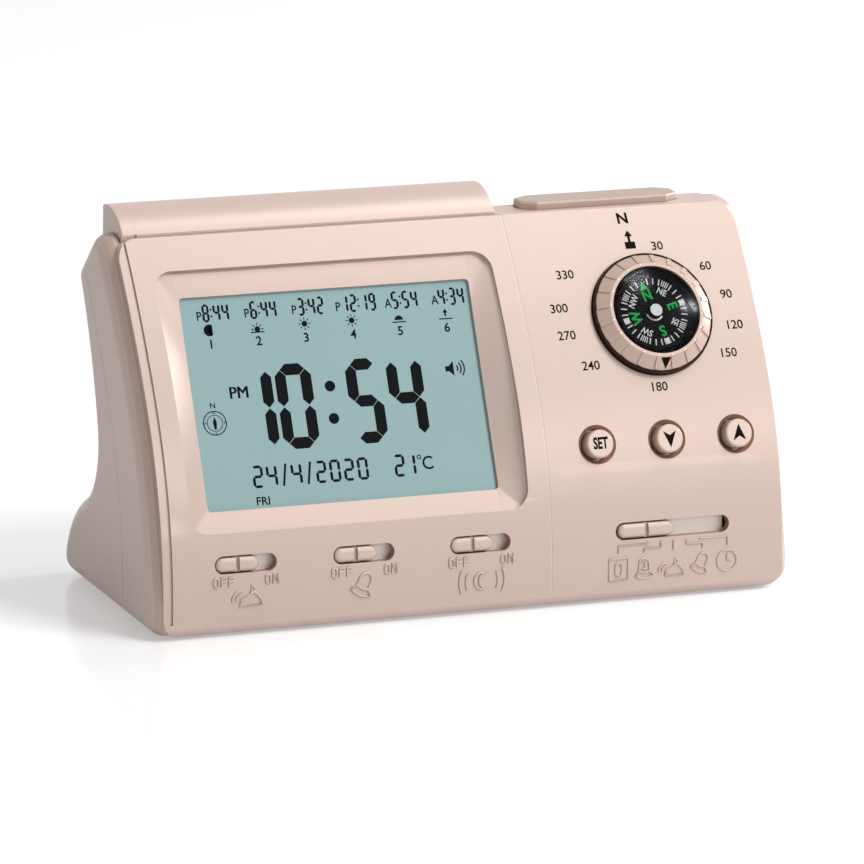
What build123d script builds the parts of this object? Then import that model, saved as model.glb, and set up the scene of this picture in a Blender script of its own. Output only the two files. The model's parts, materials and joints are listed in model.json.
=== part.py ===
from build123d import *
from math import asin, atan2, cos, degrees, radians, sin, sqrt
import os

# Desk alarm clock with a large display, a compass with a turning bezel and a speaker.
# Millimetres. X runs to the viewer's right, Y to the back, Z up. The origin lies on the table,
# in the middle of the clock's footprint.

# ---- housing -------------------------------------------------------------------------------
display_panel_width = 95.4      # left side to the line between the two panels
control_panel_width = 59.6      # from that line to the right side
top_depth = 8.944               # flat top, from the face's upper edge to the slope behind
body_height = 82.8              # underside to the flat top
foot_stand = 0.6                # how far the feet hold the underside off the table
wall = 2.2
face_wall = 2.4
top_wall = 2.2
edge_radius = 4.4               # rounding along the main body's long edges
side_radius = 4.3               # rounding round its two ends
parting_depth = 19.8            # front shell, measured straight back from the face
parting_gap = 0.12

face_vertical_height = 3.3      # the face stands upright here and leans back above it
lower_face_radius = 93.7
upper_face_radius = 212.0
face_break_tilt = 29.0          # lean at which the two face arcs meet

face_margin = 2.5               # the raised face ends this far inside each side wall
face_step = 2.0                 # how far the raised face stands proud of the main body
face_plate_depth = 7.0          # how deep the raised face reaches into the main body
face_corner_radius = 4.6
face_bottom_radius = 2.5
step_start_tilt = 2.6           # the step beside the face grows from nothing between these leans
step_full_tilt = 11.5

shoulder_inset = 6.8            # top corner of the back, in from the rearmost point
shoulder_height = 72.0
waist_inset = 20.9              # narrowest place of the back, in from the rearmost point
waist_radius = 16.0
waist_lean = 14.0               # lean at which the waist arc gives way to the upper back
flare_radius = 23.0             # rounded back of the base

groove_inset = 4.4              # decorative line near the left edge
groove_width = 0.8
groove_depth = 0.5
seam_width = 0.35
seam_depth = 0.4

# ---- display -------------------------------------------------------------------------------
window_width = 69.6
window_height = 48.7
window_corner = 1.0
window_edge = 0.8               # thickness of the moulding at the window's edge
window_shift = 2.1              # right of the middle of the display panel
window_centre_height = 48.5
window_tilt = 26.0
window_sink = 5.5               # straight back from the face to the window's centre
surround_width = 81.0
surround_height = 60.2
surround_rise = 0.4             # the surround's centre lies this far above the window's
surround_corner = 4.6
surround_step = 1.1             # upright wall round the funnel
surround_backing = 1.6
lcd_margin = 2.2
chip_radius = 6.0
chip_height = 1.6
chip_place = (20.0, -6.0)
lcd_thickness = 2.2
light_guide_thickness = 3.0
light_guide_width = 71.5
light_guide_height = 49.0
light_guide_rise = 0.9
holder_wall = 2.3
holder_floor = 1.2
zebra_width = 2.0
zebra_length = 68.0
board_thickness = 1.6
main_board_height = 56.0
main_ear_rise = 20.0
main_ear_height = 7.0
main_post_gap = 2.7             # holder's edge to the axis of a board post

# ---- fasteners and small clearances --------------------------------------------------------
press_clear = 0.05
seat_gap = 0.1
run_clear = 0.25
post_radius = 2.3
pilot_radius = 0.95
board_screw_radius = 0.9
board_screw_head_radius = 1.9
board_screw_head = 1.2
board_screw_length = 5.0
case_pilot_radius = 1.2
case_screw_radius = 1.15
case_screw_hole_radius = 1.6
case_screw_head_radius = 2.6
case_screw_head = 1.8
case_screw_length = 9.0
case_tube_radius = 4.2
case_bore_radius = 3.0
case_tube_floor = 2.0
case_screw_inset = 5.6
case_screw_heights = (7.5, 52.0)

# ---- push buttons --------------------------------------------------------------------------
button_height = 35.4
button_pitch = 17.15
button_radius = 3.25
button_stand = 2.0
button_hole_radius = 3.6
button_countersink_radius = 4.6
button_flange_radius = 4.7
button_flange = 1.0
button_stem_radius = 1.9
button_stem = 1.2
button_travel = 0.6
button_flange_gap = 0.35        # between the flange and the inside of the face
button_edge = 0.45
board_hole_clear = 0.15
tact_size = 6.0
tact_body = 3.3
tact_plunger_radius = 1.7
tact_plunger = 1.0
tact_gap = 0.12
button_board_width = 47.0
button_board_height = 13.0

# ---- slide switches ------------------------------------------------------------------------
slot_height = 15.9
slot_length = 14.65
slot_width = 4.0
slot_first_margin = 22.0        # left side to the first slot's centre
slot_pitch = 28.05
knob_length = 10.4
knob_width = 3.4
knob_stand = 0.35
knob_round = 1.1                # rounding round the knob's top
knob_end_clear = 0.15
knob_groove_width = 0.9
knob_groove_depth = 0.9
mode_slot_length = 28.1
mode_knob_length = 14.0
mode_steps = 4
mode_step = 3.225               # from one setting of the mode switch to the next
mode_pocket_wall = 0.65         # left at the raised face's side, beside the mode knob's cover plate
carrier_width = 6.6
carrier_thickness = 1.0
carrier_gap = 0.25
carrier_margin = 0.1
lever_size = 1.5
lever_length = 2.2
slide_switch_length = 10.5
mode_switch_length = 20.5
slide_switch_width = 3.8
slide_switch_depth = 3.6
lever_clear = 0.3
switch_board_width = 130.0
switch_board_low = 8.4
switch_board_high = 2.2
switch_post_drop = 6.0
switch_post_pitch = 41.3

# ---- compass -------------------------------------------------------------------------------
compass_height = 61.2
compass_offset = 1.3            # right of the middle of the control panel
bezel_radius = 14.4
bezel_wall_height = 1.3
bezel_cone_radius = 13.9
bezel_lip_radius = 11.3
bezel_height = 3.4
bezel_bore_radius = 10.55
bezel_sleeve_radius = 11.9
bezel_sink = 0.7
bezel_ribs = 20
bezel_rib_width = 1.1
bezel_rib_height = 0.35
seat_depth = 0.9
seat_thickness = 2.4
seat_boss_radius = 18.0
clip_radius = 13.6
clip_thickness = 0.9
cup_radius = 10.35
cup_wall = 0.9
cup_rim = 2.9
cup_bottom = -5.0
cup_floor = 0.9
card_radius = 9.0
card_top = 1.8
card_thickness = 0.4
hub_radius = 1.45
hub_top = 3.1
hub_bottom = 0.5
pivot_radius = 0.35
pivot_clear = 0.12
magnet_radius = 5.5
magnet_width = 2.4
magnet_thickness = 1.0
card_turn = 14.0                # the card's north, counter-clockwise from straight up
hub_roof = 0.6
sleeve_end = -4.5
clip_top = -3.5
lens_crown = 4.1
lens_thickness = 0.55
lens_rim = 0.6
bracket_radius = 18.6
bracket_thickness = 1.5
bracket_post_radius = 16.3
bracket_post_count = 3
bracket_first_post = 90.0

# ---- top bar and top button ----------------------------------------------------------------
bar_left_inset = 4.5
bar_right_gap = 1.1             # to the seam
bar_front_gap = 1.2             # ledge left in front of the bar
bar_depth = 12.4
bar_rise = 5.2
bar_nose = 0.6                  # height of the bar's front edge above the flat top
bar_crown = 4.1                 # height of its front curve a third of the way back
bar_crown_share = 0.33
bar_end_round = 0.5
bar_line_inset = 3.0            # fine groove across the bar near its left end
bar_line_width = 0.6
bar_line_depth = 0.35
bar_wall = 1.8
bar_clear = 0.25
bar_recess = 2.0
bar_travel = 0.8
bar_stem_radius = 2.0
bar_stem_spread = 28.0
top_stem_reach = 1.5            # stems end this far under the top wall
light_button_length = 39.3
light_button_width = 8.0
light_button_taper = 3.6
light_button_nose = 3.6         # width of its blunt ends
light_button_corner = 0.8
light_button_stand = 1.8
light_button_back = 6.6         # from the face's top edge to the button's axis
light_button_flange = 1.0
light_button_shift = -3.7
light_button_catch = 1.2
light_button_round = 0.7
top_board_depth = 8.0
top_board_margin = 3.2          # beyond the outer posts
top_post_gap = 6.8              # switch axis to the nearest post
top_post_shift = 1.0

# ---- batteries and their door --------------------------------------------------------------
cell_radius = 7.25
cell_length = 50.5
cell_button_radius = 2.75
cell_button = 1.0
cell_pitch = 15.1
cell_clear = 0.35
cell_rear_inset = 15.8          # rearmost point to the rear cell's axis
bay_wall = 1.3
spring_room = 5.0
plate_thickness = 0.4
spring_wire = 0.35
spring_turns = 4
spring_base_radius = 4.2
spring_tip_radius = 2.2
door_thickness = 1.8
door_lip = 0.9
door_width = 54.0
door_tongue = 1.2
door_clear = 0.15
door_front_inset = 39.4         # rearmost point to the door's front edge
door_grip_width = 16.0
door_grip_slot = 1.2
door_grip_depth = 0.5
door_grip_pitch = 2.6
door_travel = 12.0
door_grip_lines = 3

# ---- speaker -------------------------------------------------------------------------------
speaker_margin = 42.5           # left side to the speaker's axis
speaker_height = 52.5
speaker_lean = 22.5
speaker_radius = 20.0
speaker_seat_radius = 18.2
speaker_seat_rise = 3.4
speaker_flange = 1.0
speaker_basket_depth = 4.2
speaker_magnet_radius = 9.5
speaker_magnet_depth = 3.8
speaker_screw_radius = 22.4
speaker_screw_count = 3
speaker_first_screw = -90.0
speaker_boss_radius = 2.4
speaker_ear_radius = 2.9
speaker_rim_radius = 21.0
speaker_cone_radius = 16.5
speaker_cap_radius = 5.0
speaker_cone_depth = 2.6
speaker_cone_thickness = 0.5
speaker_basket_wall = 0.9
speaker_screw_length = 3.6
speaker_coil_radius = 4.5
grille_radius = 16.5
grille_slot = 1.7
grille_pitch = 3.3
grille_rows = 4                 # slots above and below the middle one

# ---- feet ----------------------------------------------------------------------------------
foot_radius = 4.0
foot_recess = 0.8
foot_side_inset = 12.0
foot_front_inset = 9.5
foot_rear_inset = 9.5

# ---- derived places ------------------------------------------------------------------------
width = display_panel_width + control_panel_width
face_arcs_drop = (upper_face_radius - lower_face_radius) * sin(radians(face_break_tilt))
top_tilt = degrees(asin((body_height - face_vertical_height + face_arcs_drop) / upper_face_radius))
face_setback = (lower_face_radius + (upper_face_radius - lower_face_radius) * cos(radians(face_break_tilt))
                - upper_face_radius * cos(radians(top_tilt)))
depth = face_setback + top_depth + (body_height - shoulder_height) + shoulder_inset
front_y = -depth / 2
rear_y = depth / 2
left_x = -width / 2
right_x = width / 2
underside_z = foot_stand
top_z = underside_z + body_height
lower_centre = (front_y + lower_face_radius, underside_z + face_vertical_height)
upper_centre = (lower_centre[0] + (upper_face_radius - lower_face_radius) * cos(radians(face_break_tilt)),
                lower_centre[1] - face_arcs_drop)


def on_circle(centre, radius, angle):
    """Point of a circle in the side view, angle in degrees from straight back, upwards."""
    return centre[0] + radius * cos(radians(angle)), centre[1] + radius * sin(radians(angle))


def face_arc(tilt):
    """Centre and radius of the face arc that leans by tilt."""
    return (lower_centre, lower_face_radius) if tilt <= face_break_tilt else (upper_centre, upper_face_radius)


def face_point(tilt, inset=0.0):
    """(y, z) of the face where it leans by tilt degrees, moved inwards along its normal."""
    centre, radius = face_arc(tilt)
    return on_circle(centre, radius - inset, 180 - tilt)


def face_tilt(z, inset=0.0):
    """Lean in degrees of the face, or of the surface inset behind it, at height z."""
    lower = (z - lower_centre[1]) / (lower_face_radius - inset)
    if lower <= sin(radians(face_break_tilt)):
        return degrees(asin(lower))
    return degrees(asin((z - upper_centre[1]) / (upper_face_radius - inset)))


def face_frame(x, height):
    """Plane on the face at x and height above the underside: X right, Y up the face, Z outwards."""
    tilt = face_tilt(underside_z + height)
    y, z = face_point(tilt)
    return Plane(origin=(x, y, z), x_dir=(1, 0, 0), z_dir=(0, -cos(radians(tilt)), sin(radians(tilt))))


def face_curve(inset, low_tilt, high_tilt, back=0.0):
    """Draw the face's two arcs between two leans, moved inwards by inset and back by back."""
    lower_end, upper_start = min(face_break_tilt, high_tilt), max(face_break_tilt, low_tilt)
    for start, end in ((low_tilt, lower_end), (upper_start, high_tilt)):
        if end - start > 1e-6:
            points = [face_point(t, inset) for t in (start + 1e-9, (start + end) / 2 + 1e-9, end)]
            ThreePointArc(*[(y + back, z) for y, z in points])


face_top_y = face_point(top_tilt)[0]
seam_x = left_x + display_panel_width
panel_x = (seam_x + right_x) / 2

# side view: circles of the base and of the waist, which touch each other
flare_reach = sqrt((flare_radius - edge_radius) ** 2 - edge_radius ** 2)
flare_centre = (rear_y - edge_radius - flare_reach, underside_z)
waist_y = rear_y - waist_inset + waist_radius
waist_rise = sqrt((waist_radius + flare_radius) ** 2 - (waist_y - flare_centre[0]) ** 2)
waist_centre = (waist_y, flare_centre[1] + waist_rise)
flare_angle = degrees(atan2(waist_centre[1] - flare_centre[1], waist_centre[0] - flare_centre[0]))
shoulder = (rear_y - shoulder_inset, underside_z + shoulder_height)
slope_top_y = shoulder[0] - (top_z - shoulder[1])
upper_back_start = on_circle(waist_centre, waist_radius, 180 - waist_lean)


# ---- whole housing, before it is parted ----------------------------------------------------
# side outline of the main body, which lies a step behind the raised face
with BuildSketch(Plane.YZ) as body_outline:
    with BuildLine():
        body_top_tilt = face_tilt(top_z, face_step)
        Line((front_y, underside_z), face_point(0))
        face_curve(0.0, 0.0, step_start_tilt)
        step_start = face_point(step_start_tilt)
        step_full = face_point(step_full_tilt, face_step)
        Line(step_start, step_full)
        face_curve(face_step, step_full_tilt, body_top_tilt)
        Polyline(face_point(body_top_tilt, face_step), (slope_top_y, top_z), shoulder)
        TangentArc(upper_back_start, shoulder, tangent=(sin(radians(waist_lean)), cos(radians(waist_lean))))
        waist_sweep = (180 + flare_angle) - (180 - waist_lean)
        CenterArc(waist_centre, waist_radius, 180 - waist_lean, waist_sweep)
        CenterArc(flare_centre, flare_radius, 0, flare_angle)
        Line((flare_centre[0] + flare_radius, underside_z), (front_y, underside_z))
    make_face()
    offset(amount=-edge_radius, kind=Kind.INTERSECTION)
    offset(amount=edge_radius, kind=Kind.ARC)

with BuildPart() as main_body:
    extrude(body_outline.sketch, amount=width / 2, both=True)
    fillet(faces().filter_by(Axis.X).edges(), radius=side_radius)

# raised face: a slab of the face's curve, rounded at its corners in front view
with BuildPart() as face_plate:
    with BuildSketch(Plane.YZ):
        with BuildLine():
            plate_top_tilt = face_tilt(top_z, face_plate_depth)
            plate_bottom_y = front_y + face_plate_depth
            Line((front_y, underside_z), face_point(0))
            face_curve(0.0, 0.0, top_tilt)
            Line(face_point(top_tilt), face_point(plate_top_tilt, face_plate_depth))
            face_curve(face_plate_depth, 0.0, plate_top_tilt)
            Polyline(face_point(0, face_plate_depth), (plate_bottom_y, underside_z), (front_y, underside_z))
        make_face()
        fillet(vertices().sort_by(Axis.Y).group_by(Axis.Y)[0].sort_by(Axis.X)[0], radius=face_bottom_radius)
    extrude(amount=width / 2 - face_margin, both=True)
    with BuildSketch(Plane.XZ.offset(-rear_y)):
        with Locations((0, underside_z + body_height / 2)):
            RectangleRounded(width - 2 * face_margin, body_height, face_corner_radius)
    extrude(amount=depth, mode=Mode.INTERSECT)

with BuildPart() as outer_body:
    add(main_body.part)
    add(face_plate.part)

# hollow inside: one wall in from the main body, and one face wall in from the raised face
ceiling_z = top_z - bar_recess - top_wall
with BuildPart() as hollow:
    with BuildSketch(Plane.YZ):
        add(body_outline.sketch_local)
        offset(amount=-wall)
    extrude(amount=width / 2 - wall, both=True)
    fillet(faces().filter_by(Axis.X).edges(), radius=side_radius - wall)
    with BuildSketch(Plane.YZ):
        with BuildLine():
            hollow_front_tilt = face_tilt(top_z - top_wall, face_wall)
            hollow_back_tilt = face_tilt(top_z - top_wall, face_plate_depth)
            hollow_floor = (front_y + face_wall, underside_z + wall)
            Line(hollow_floor, face_point(0, face_wall))
            face_curve(face_wall, 0.0, hollow_front_tilt)
            Line(face_point(hollow_front_tilt, face_wall), face_point(hollow_back_tilt, face_plate_depth))
            face_curve(face_plate_depth, 0.0, hollow_back_tilt)
            Polyline(face_point(0, face_plate_depth), (front_y + face_plate_depth, underside_z + wall),
                     hollow_floor)
        make_face()
    extrude(amount=width / 2 - face_margin - wall, both=True)
    with BuildSketch(Plane.XY.offset(ceiling_z)):
        Rectangle(width, depth)
    extrude(amount=bar_recess + top_wall, mode=Mode.SUBTRACT)

# ---- display: planes and outlines ----------------------------------------------------------
window_x = (left_x + seam_x) / 2 + window_shift
window_z = underside_z + window_centre_height
window_y = face_point(face_tilt(window_z))[0] + window_sink
window_up = (sin(radians(window_tilt)), cos(radians(window_tilt)))
window_out = (-cos(radians(window_tilt)), sin(radians(window_tilt)))
window_plane = Plane(origin=(window_x, window_y, window_z), x_dir=(1, 0, 0), z_dir=(0, *window_out))
surround_high = surround_height / 2 + surround_rise
surround_low = -surround_height / 2 + surround_rise
funnel_reach = 16.0             # how far in front of the window the cutting solids extend


def window_point(rise, out):
    """(y, z) in the side view, measured up the window and out of it."""
    y = window_y + rise * window_up[0] + out * window_out[0]
    z = window_z + rise * window_up[1] + out * window_out[1]
    return y, z


def above_window(rise, circle_centre, circle_radius):
    """Where the line straight out of the window at rise meets a face circle."""
    y, z = window_point(rise, 0.0)
    dy, dz = y - circle_centre[0], z - circle_centre[1]
    along = dy * window_out[0] + dz * window_out[1]
    return window_point(rise, -along + sqrt(along ** 2 - dy ** 2 - dz ** 2 + circle_radius ** 2))


funnel_upper_radius = upper_face_radius - surround_step
funnel_lower_radius = lower_face_radius - surround_step
funnel_top = above_window(surround_high, upper_centre, funnel_upper_radius)
funnel_middle = above_window(0.0, upper_centre, funnel_upper_radius)
funnel_bottom = above_window(surround_low, lower_centre, funnel_lower_radius)
funnel_corner = 0.15            # the side slopes start this far inside the funnel's corners
funnel_margin = 1.5             # how far the cutting solids run past the surround's outline


def funnel_section(x, at_window):
    """Side view of the funnel, at the window's edge or at the surround's."""
    with BuildSketch(Plane.YZ.offset(x)) as section:
        with BuildLine():
            if at_window:
                high = window_point(window_height / 2, 0.0)
                low = window_point(-window_height / 2, 0.0)
                Line(high, low)
            else:
                high = above_window(surround_high - funnel_corner, upper_centre, funnel_upper_radius)
                low = above_window(surround_low + funnel_corner, lower_centre, funnel_lower_radius)
                ThreePointArc(high, funnel_middle, low)
            beyond_low = window_point(surround_low - funnel_margin, 0.0)
            beyond_high = window_point(surround_high + funnel_margin, 0.0)
            Polyline(low, funnel_bottom, beyond_low, window_point(surround_low - funnel_margin, funnel_reach),
                     window_point(surround_high + funnel_margin, funnel_reach), beyond_high, funnel_top, high)
        make_face()
    return section.sketch


with BuildPart() as surround_prism:
    with BuildSketch(window_plane.offset(-funnel_margin)):
        with Locations((0, surround_rise)):
            RectangleRounded(surround_width, surround_height, surround_corner)
    extrude(amount=funnel_reach)

with BuildPart() as funnel_middle_part:
    extrude(funnel_section(window_x - window_width / 2, True), amount=window_width)
    add(surround_prism.part, mode=Mode.INTERSECT)

funnel_sides = []
for side in (-1, 1):
    with BuildPart() as funnel_side:
        loft([funnel_section(window_x + side * window_width / 2, True),
              funnel_section(window_x + side * surround_width / 2, False)], ruled=True)
        add(surround_prism.part, mode=Mode.INTERSECT)
    funnel_sides.append(funnel_side.part)

with BuildPart() as window_opening:
    with BuildSketch(window_plane.offset(-wall)):
        RectangleRounded(window_width, window_height, window_corner)
    extrude(amount=wall + face_wall)

# the solid moulding behind the funnel, flat at the back where the glass rests on it
with BuildPart() as surround:
    with BuildSketch(window_plane.offset(-window_edge)):
        with Locations((0, surround_rise)):
            RectangleRounded(surround_width + 2 * surround_backing, surround_height + 2 * surround_backing,
                             surround_corner + surround_backing)
    extrude(amount=funnel_reach)
    add(outer_body.part, mode=Mode.INTERSECT)

lcd_width = window_width + 2 * lcd_margin
lcd_height = window_height + 2 * lcd_margin
lcd_top = -window_edge
lcd_back = lcd_top - lcd_thickness
guide_top = lcd_back - seat_gap
holder_width = lcd_width + 2 * (run_clear + holder_wall)
holder_height = lcd_height + 2 * (run_clear + holder_wall)
holder_back = guide_top - light_guide_thickness - press_clear - holder_floor
main_board_top = holder_back - 2 * seat_gap
main_post_x = holder_width / 2 + main_post_gap
main_posts_at = [(x, y) for y in (-main_ear_rise, main_ear_rise) for x in (-main_post_x, main_post_x)]
zebra_rise = -(lcd_height - zebra_width) / 2 + seat_gap

# ---- places of the controls ----------------------------------------------------------------
compass_x = panel_x + compass_offset
compass_plane = face_frame(compass_x, compass_height)
seat_back = -(seat_depth + seat_thickness)
button_planes = [face_frame(panel_x + i * button_pitch, button_height) for i in (-1, 0, 1)]
button_plane = button_planes[1]
button_flange_top = -(face_wall + button_flange_gap)
button_stem_end = button_flange_top - button_flange - button_stem
button_tact_top = button_stem_end - button_travel - tact_gap
button_board_top = button_tact_top - tact_plunger - tact_body
slot_planes = [face_frame(left_x + slot_first_margin + i * slot_pitch, slot_height) for i in range(3)]
mode_plane = face_frame(panel_x, slot_height)
mode_travel = mode_steps * mode_step
mode_pocket_reach = right_x - face_margin - mode_pocket_wall - panel_x
mode_carrier_reach = mode_pocket_reach - run_clear - mode_travel / 2
carrier_top = -(face_wall + carrier_gap)
switch_top = carrier_top - carrier_thickness - carrier_gap
switch_board_top = switch_top - slide_switch_depth
switch_plane = face_frame(0.0, slot_height)
switch_posts_at = [(i * switch_post_pitch, -switch_post_drop) for i in (-1.5, -0.5, 0.5, 1.5)]
button_posts_at = [(-button_pitch / 2, 0), (button_pitch / 2, 0)]

bar_left = left_x + bar_left_inset
bar_right = seam_x - bar_right_gap
bar_x = (bar_left + bar_right) / 2
bar_front = face_top_y + bar_front_gap
bar_back = bar_front + bar_depth
top_switch_y = face_top_y + light_button_back
light_x = panel_x + light_button_shift
bar_stem_places = [(bar_x - bar_stem_spread, top_switch_y), (bar_x + bar_stem_spread, top_switch_y)]
top_stem_end = ceiling_z - top_stem_reach
top_tact_top = top_stem_end - bar_travel - tact_gap
top_board_z = top_tact_top - tact_plunger - tact_body
top_post_y = top_switch_y + top_post_shift
top_posts_at = [(bar_x - bar_stem_spread - top_post_gap, top_post_y), (bar_x, top_post_y),
                (seam_x, top_post_y),
                (light_x + light_button_length / 2 + light_button_catch + post_radius + top_post_shift,
                 top_post_y)]

case_screw_x = width / 2 - case_screw_inset
case_screws_at = [(x, height) for height in case_screw_heights for x in (-case_screw_x, case_screw_x)]


def case_floor_y(height):
    """Level on which the head of a case screw rests, seen from the back."""
    high_z = max(underside_z + height + case_bore_radius, lower_centre[1])
    return face_point(face_tilt(high_z))[0] + parting_depth + case_tube_floor


foot_x = width / 2 - foot_side_inset
front_feet_at = [(-foot_x, front_y + foot_front_inset), (foot_x, front_y + foot_front_inset)]
rear_feet_at = [(-foot_x, rear_y - foot_rear_inset), (foot_x, rear_y - foot_rear_inset)]
main_board_back = main_board_top - board_thickness
switch_board_back = switch_board_top - board_thickness
button_board_back = button_board_top - board_thickness
top_board_back = top_board_z - board_thickness
bracket_back = cup_bottom - bracket_thickness


def on_ring(radius, count, first):
    """Places spread evenly on a ring, the first at an angle in degrees from the right."""
    turns = [radians(first + i * 360 / count) for i in range(count)]
    return [(radius * cos(t), radius * sin(t)) for t in turns]


bracket_posts_at = on_ring(bracket_post_radius, bracket_post_count, bracket_first_post)

# ---- places inside the rear ----------------------------------------------------------------
bay_length = cell_length + 2 * plate_thickness + spring_room + 2 * seat_gap
rear_cell_y = rear_y - cell_rear_inset
front_cell_y = rear_cell_y - cell_pitch
cell_z = underside_z + door_thickness + cell_clear + cell_radius
bay_radius = cell_radius + cell_clear
door_front = rear_y - door_front_inset
door_top = underside_z + door_thickness

speaker_x = left_x + speaker_margin
speaker_z = underside_z + speaker_height
back_chord = (shoulder[0] - upper_back_start[0], shoulder[1] - upper_back_start[1])
back_turn = radians(degrees(atan2(back_chord[0], back_chord[1])) - waist_lean)
upper_back_radius = sqrt(back_chord[0] ** 2 + back_chord[1] ** 2) / (2 * sin(back_turn))
upper_back_centre = on_circle(upper_back_start, upper_back_radius, -waist_lean)
speaker_flange_back = speaker_seat_rise + speaker_flange
speaker_magnet_top = speaker_seat_rise + speaker_basket_depth
speaker_screws_at = on_ring(speaker_screw_radius, speaker_screw_count, speaker_first_screw)
speaker_y = upper_back_centre[0] - sqrt(upper_back_radius ** 2 - (speaker_z - upper_back_centre[1]) ** 2)
speaker_plane = Plane(origin=(speaker_x, speaker_y, speaker_z), x_dir=(1, 0, 0),
                      z_dir=(0, -cos(radians(speaker_lean)), sin(radians(speaker_lean))))


def light_outline(grow=0.0):
    """Long flat button with tapered ends, in top view."""
    half, half_width = light_button_length / 2, light_button_width / 2
    nose = light_button_nose / 2
    with BuildSketch() as outline:
        with BuildLine():
            Polyline((half, nose), (half - light_button_taper, half_width),
                     (light_button_taper - half, half_width), (-half, nose),
                     (-half, -nose), (light_button_taper - half, -half_width),
                     (half - light_button_taper, -half_width), (half, -nose), (half, nose))
        make_face()
        fillet(vertices(), radius=light_button_corner)
        if grow:
            offset(amount=grow)
    return outline.sketch


def parting_zone(back):
    """Side view of everything ahead of the face's curve moved straight back."""
    margin = 8.0
    with BuildSketch(Plane.YZ) as zone:
        with BuildLine():
            low, high = underside_z - margin, top_z + margin
            Line((front_y + back, low), (front_y + back, lower_centre[1]))
            face_curve(0.0, 0.0, top_tilt, back)
            Polyline((face_top_y + back, top_z), (face_top_y + back, high), (front_y - margin, high),
                     (front_y - margin, low), (front_y + back, low))
        make_face()
    return zone.sketch


def face_strip(strip_width, strip_depth, x):
    """Cut a line into the face, following its curve."""
    high_tilt = face_tilt(top_z + foot_stand)
    with BuildSketch(Plane.YZ.offset(x)) as strip:
        with BuildLine():
            face_curve(-strip_depth, 0.0, high_tilt)
            face_curve(strip_depth, 0.0, high_tilt)
            Line(face_point(0.0, -strip_depth), face_point(0.0, strip_depth))
            Line(face_point(high_tilt, -strip_depth), face_point(high_tilt, strip_depth))
        make_face()
    extrude(strip.sketch, amount=strip_width / 2, both=True, mode=Mode.SUBTRACT)


def disc(base, radius, low, high, places=((0, 0),), mode=Mode.ADD):
    """Round pieces or holes normal to a plane, from the level low to the level high."""
    with BuildSketch(base.offset(low)) as shape:
        with Locations(*places):
            Circle(radius)
    extrude(shape.sketch, amount=high - low, mode=mode)


def tube(base, outer_radius, inner_radius, low, high):
    """Ring normal to a plane, from the level low to the level high."""
    with BuildSketch(base.offset(low)) as shape:
        Circle(outer_radius)
        Circle(inner_radius, mode=Mode.SUBTRACT)
    extrude(shape.sketch, amount=high - low)


def block(base, size_x, size_y, low, high, places=((0, 0),), mode=Mode.ADD):
    """Box-shaped pieces or pockets on a plane, from the level low to the level high."""
    with BuildSketch(base.offset(low)) as shape:
        with Locations(*places):
            Rectangle(size_x, size_y)
    extrude(shape.sketch, amount=high - low, mode=mode)


def screws(base, places, under_head, head_radius, head_height, shank_radius, shank_length):
    """Screws whose heads lie on the level under_head, on the negative side of a plane."""
    disc(base, head_radius, under_head - head_height, under_head, places)
    disc(base, shank_radius, under_head, under_head + shank_length, places)


def cap_height(radius, rise, x):
    """Height of a spherical cap above its rim, at the distance x from its middle."""
    ball = (radius ** 2 + rise ** 2) / (2 * rise)
    return sqrt(ball ** 2 - x ** 2) - (ball - rise)


def turned_plane(base, turn):
    """The plane turned about its own normal."""
    return Plane(base.location * Location((0, 0, 0), (0, 0, turn)))


def section_plane(base, turn=0.0):
    """Plane through a plane's normal, with that normal as its Y, turned by an angle in degrees."""
    turned = turned_plane(base, turn)
    return Plane(origin=turned.origin, x_dir=turned.x_dir, z_dir=-turned.y_dir)


# ---- housing, still in one piece -----------------------------------------------------------
with BuildPart() as inner_posts:
    # columns of the case screws
    disc(Plane.XZ, case_tube_radius, -rear_y, -front_y,
         [(x, underside_z + height) for x, height in case_screws_at])
    # seat of the compass and the posts of its bracket
    disc(compass_plane, seat_boss_radius, seat_back, 0)
    disc(compass_plane, post_radius, cup_bottom, 0, bracket_posts_at)
    # posts of the boards
    disc(window_plane, post_radius, main_board_top, funnel_reach, main_posts_at)
    disc(switch_plane, post_radius, switch_board_top, 0, switch_posts_at)
    disc(button_plane, post_radius, button_board_top, 0, button_posts_at)
    disc(Plane.XY, post_radius, top_board_z, top_z, top_posts_at)
    add(outer_body.part, mode=Mode.INTERSECT)

with BuildPart() as housing:
    add(outer_body.part)
    add(hollow.part, mode=Mode.SUBTRACT)
    add(surround.part)
    add(inner_posts.part)
    for piece in (funnel_middle_part.part, *funnel_sides, window_opening.part):
        add(piece, mode=Mode.SUBTRACT)

# ---- front shell ---------------------------------------------------------------------------
with BuildSketch(Plane.XY.offset(top_z - bar_recess)) as bar_pocket:
    with Locations((bar_x, bar_front + bar_depth / 2)):
        Rectangle(bar_right - bar_left + 2 * bar_clear, bar_depth + 2 * bar_clear)
light_shape = light_outline()
light_hole_shape = light_outline(run_clear)

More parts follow.
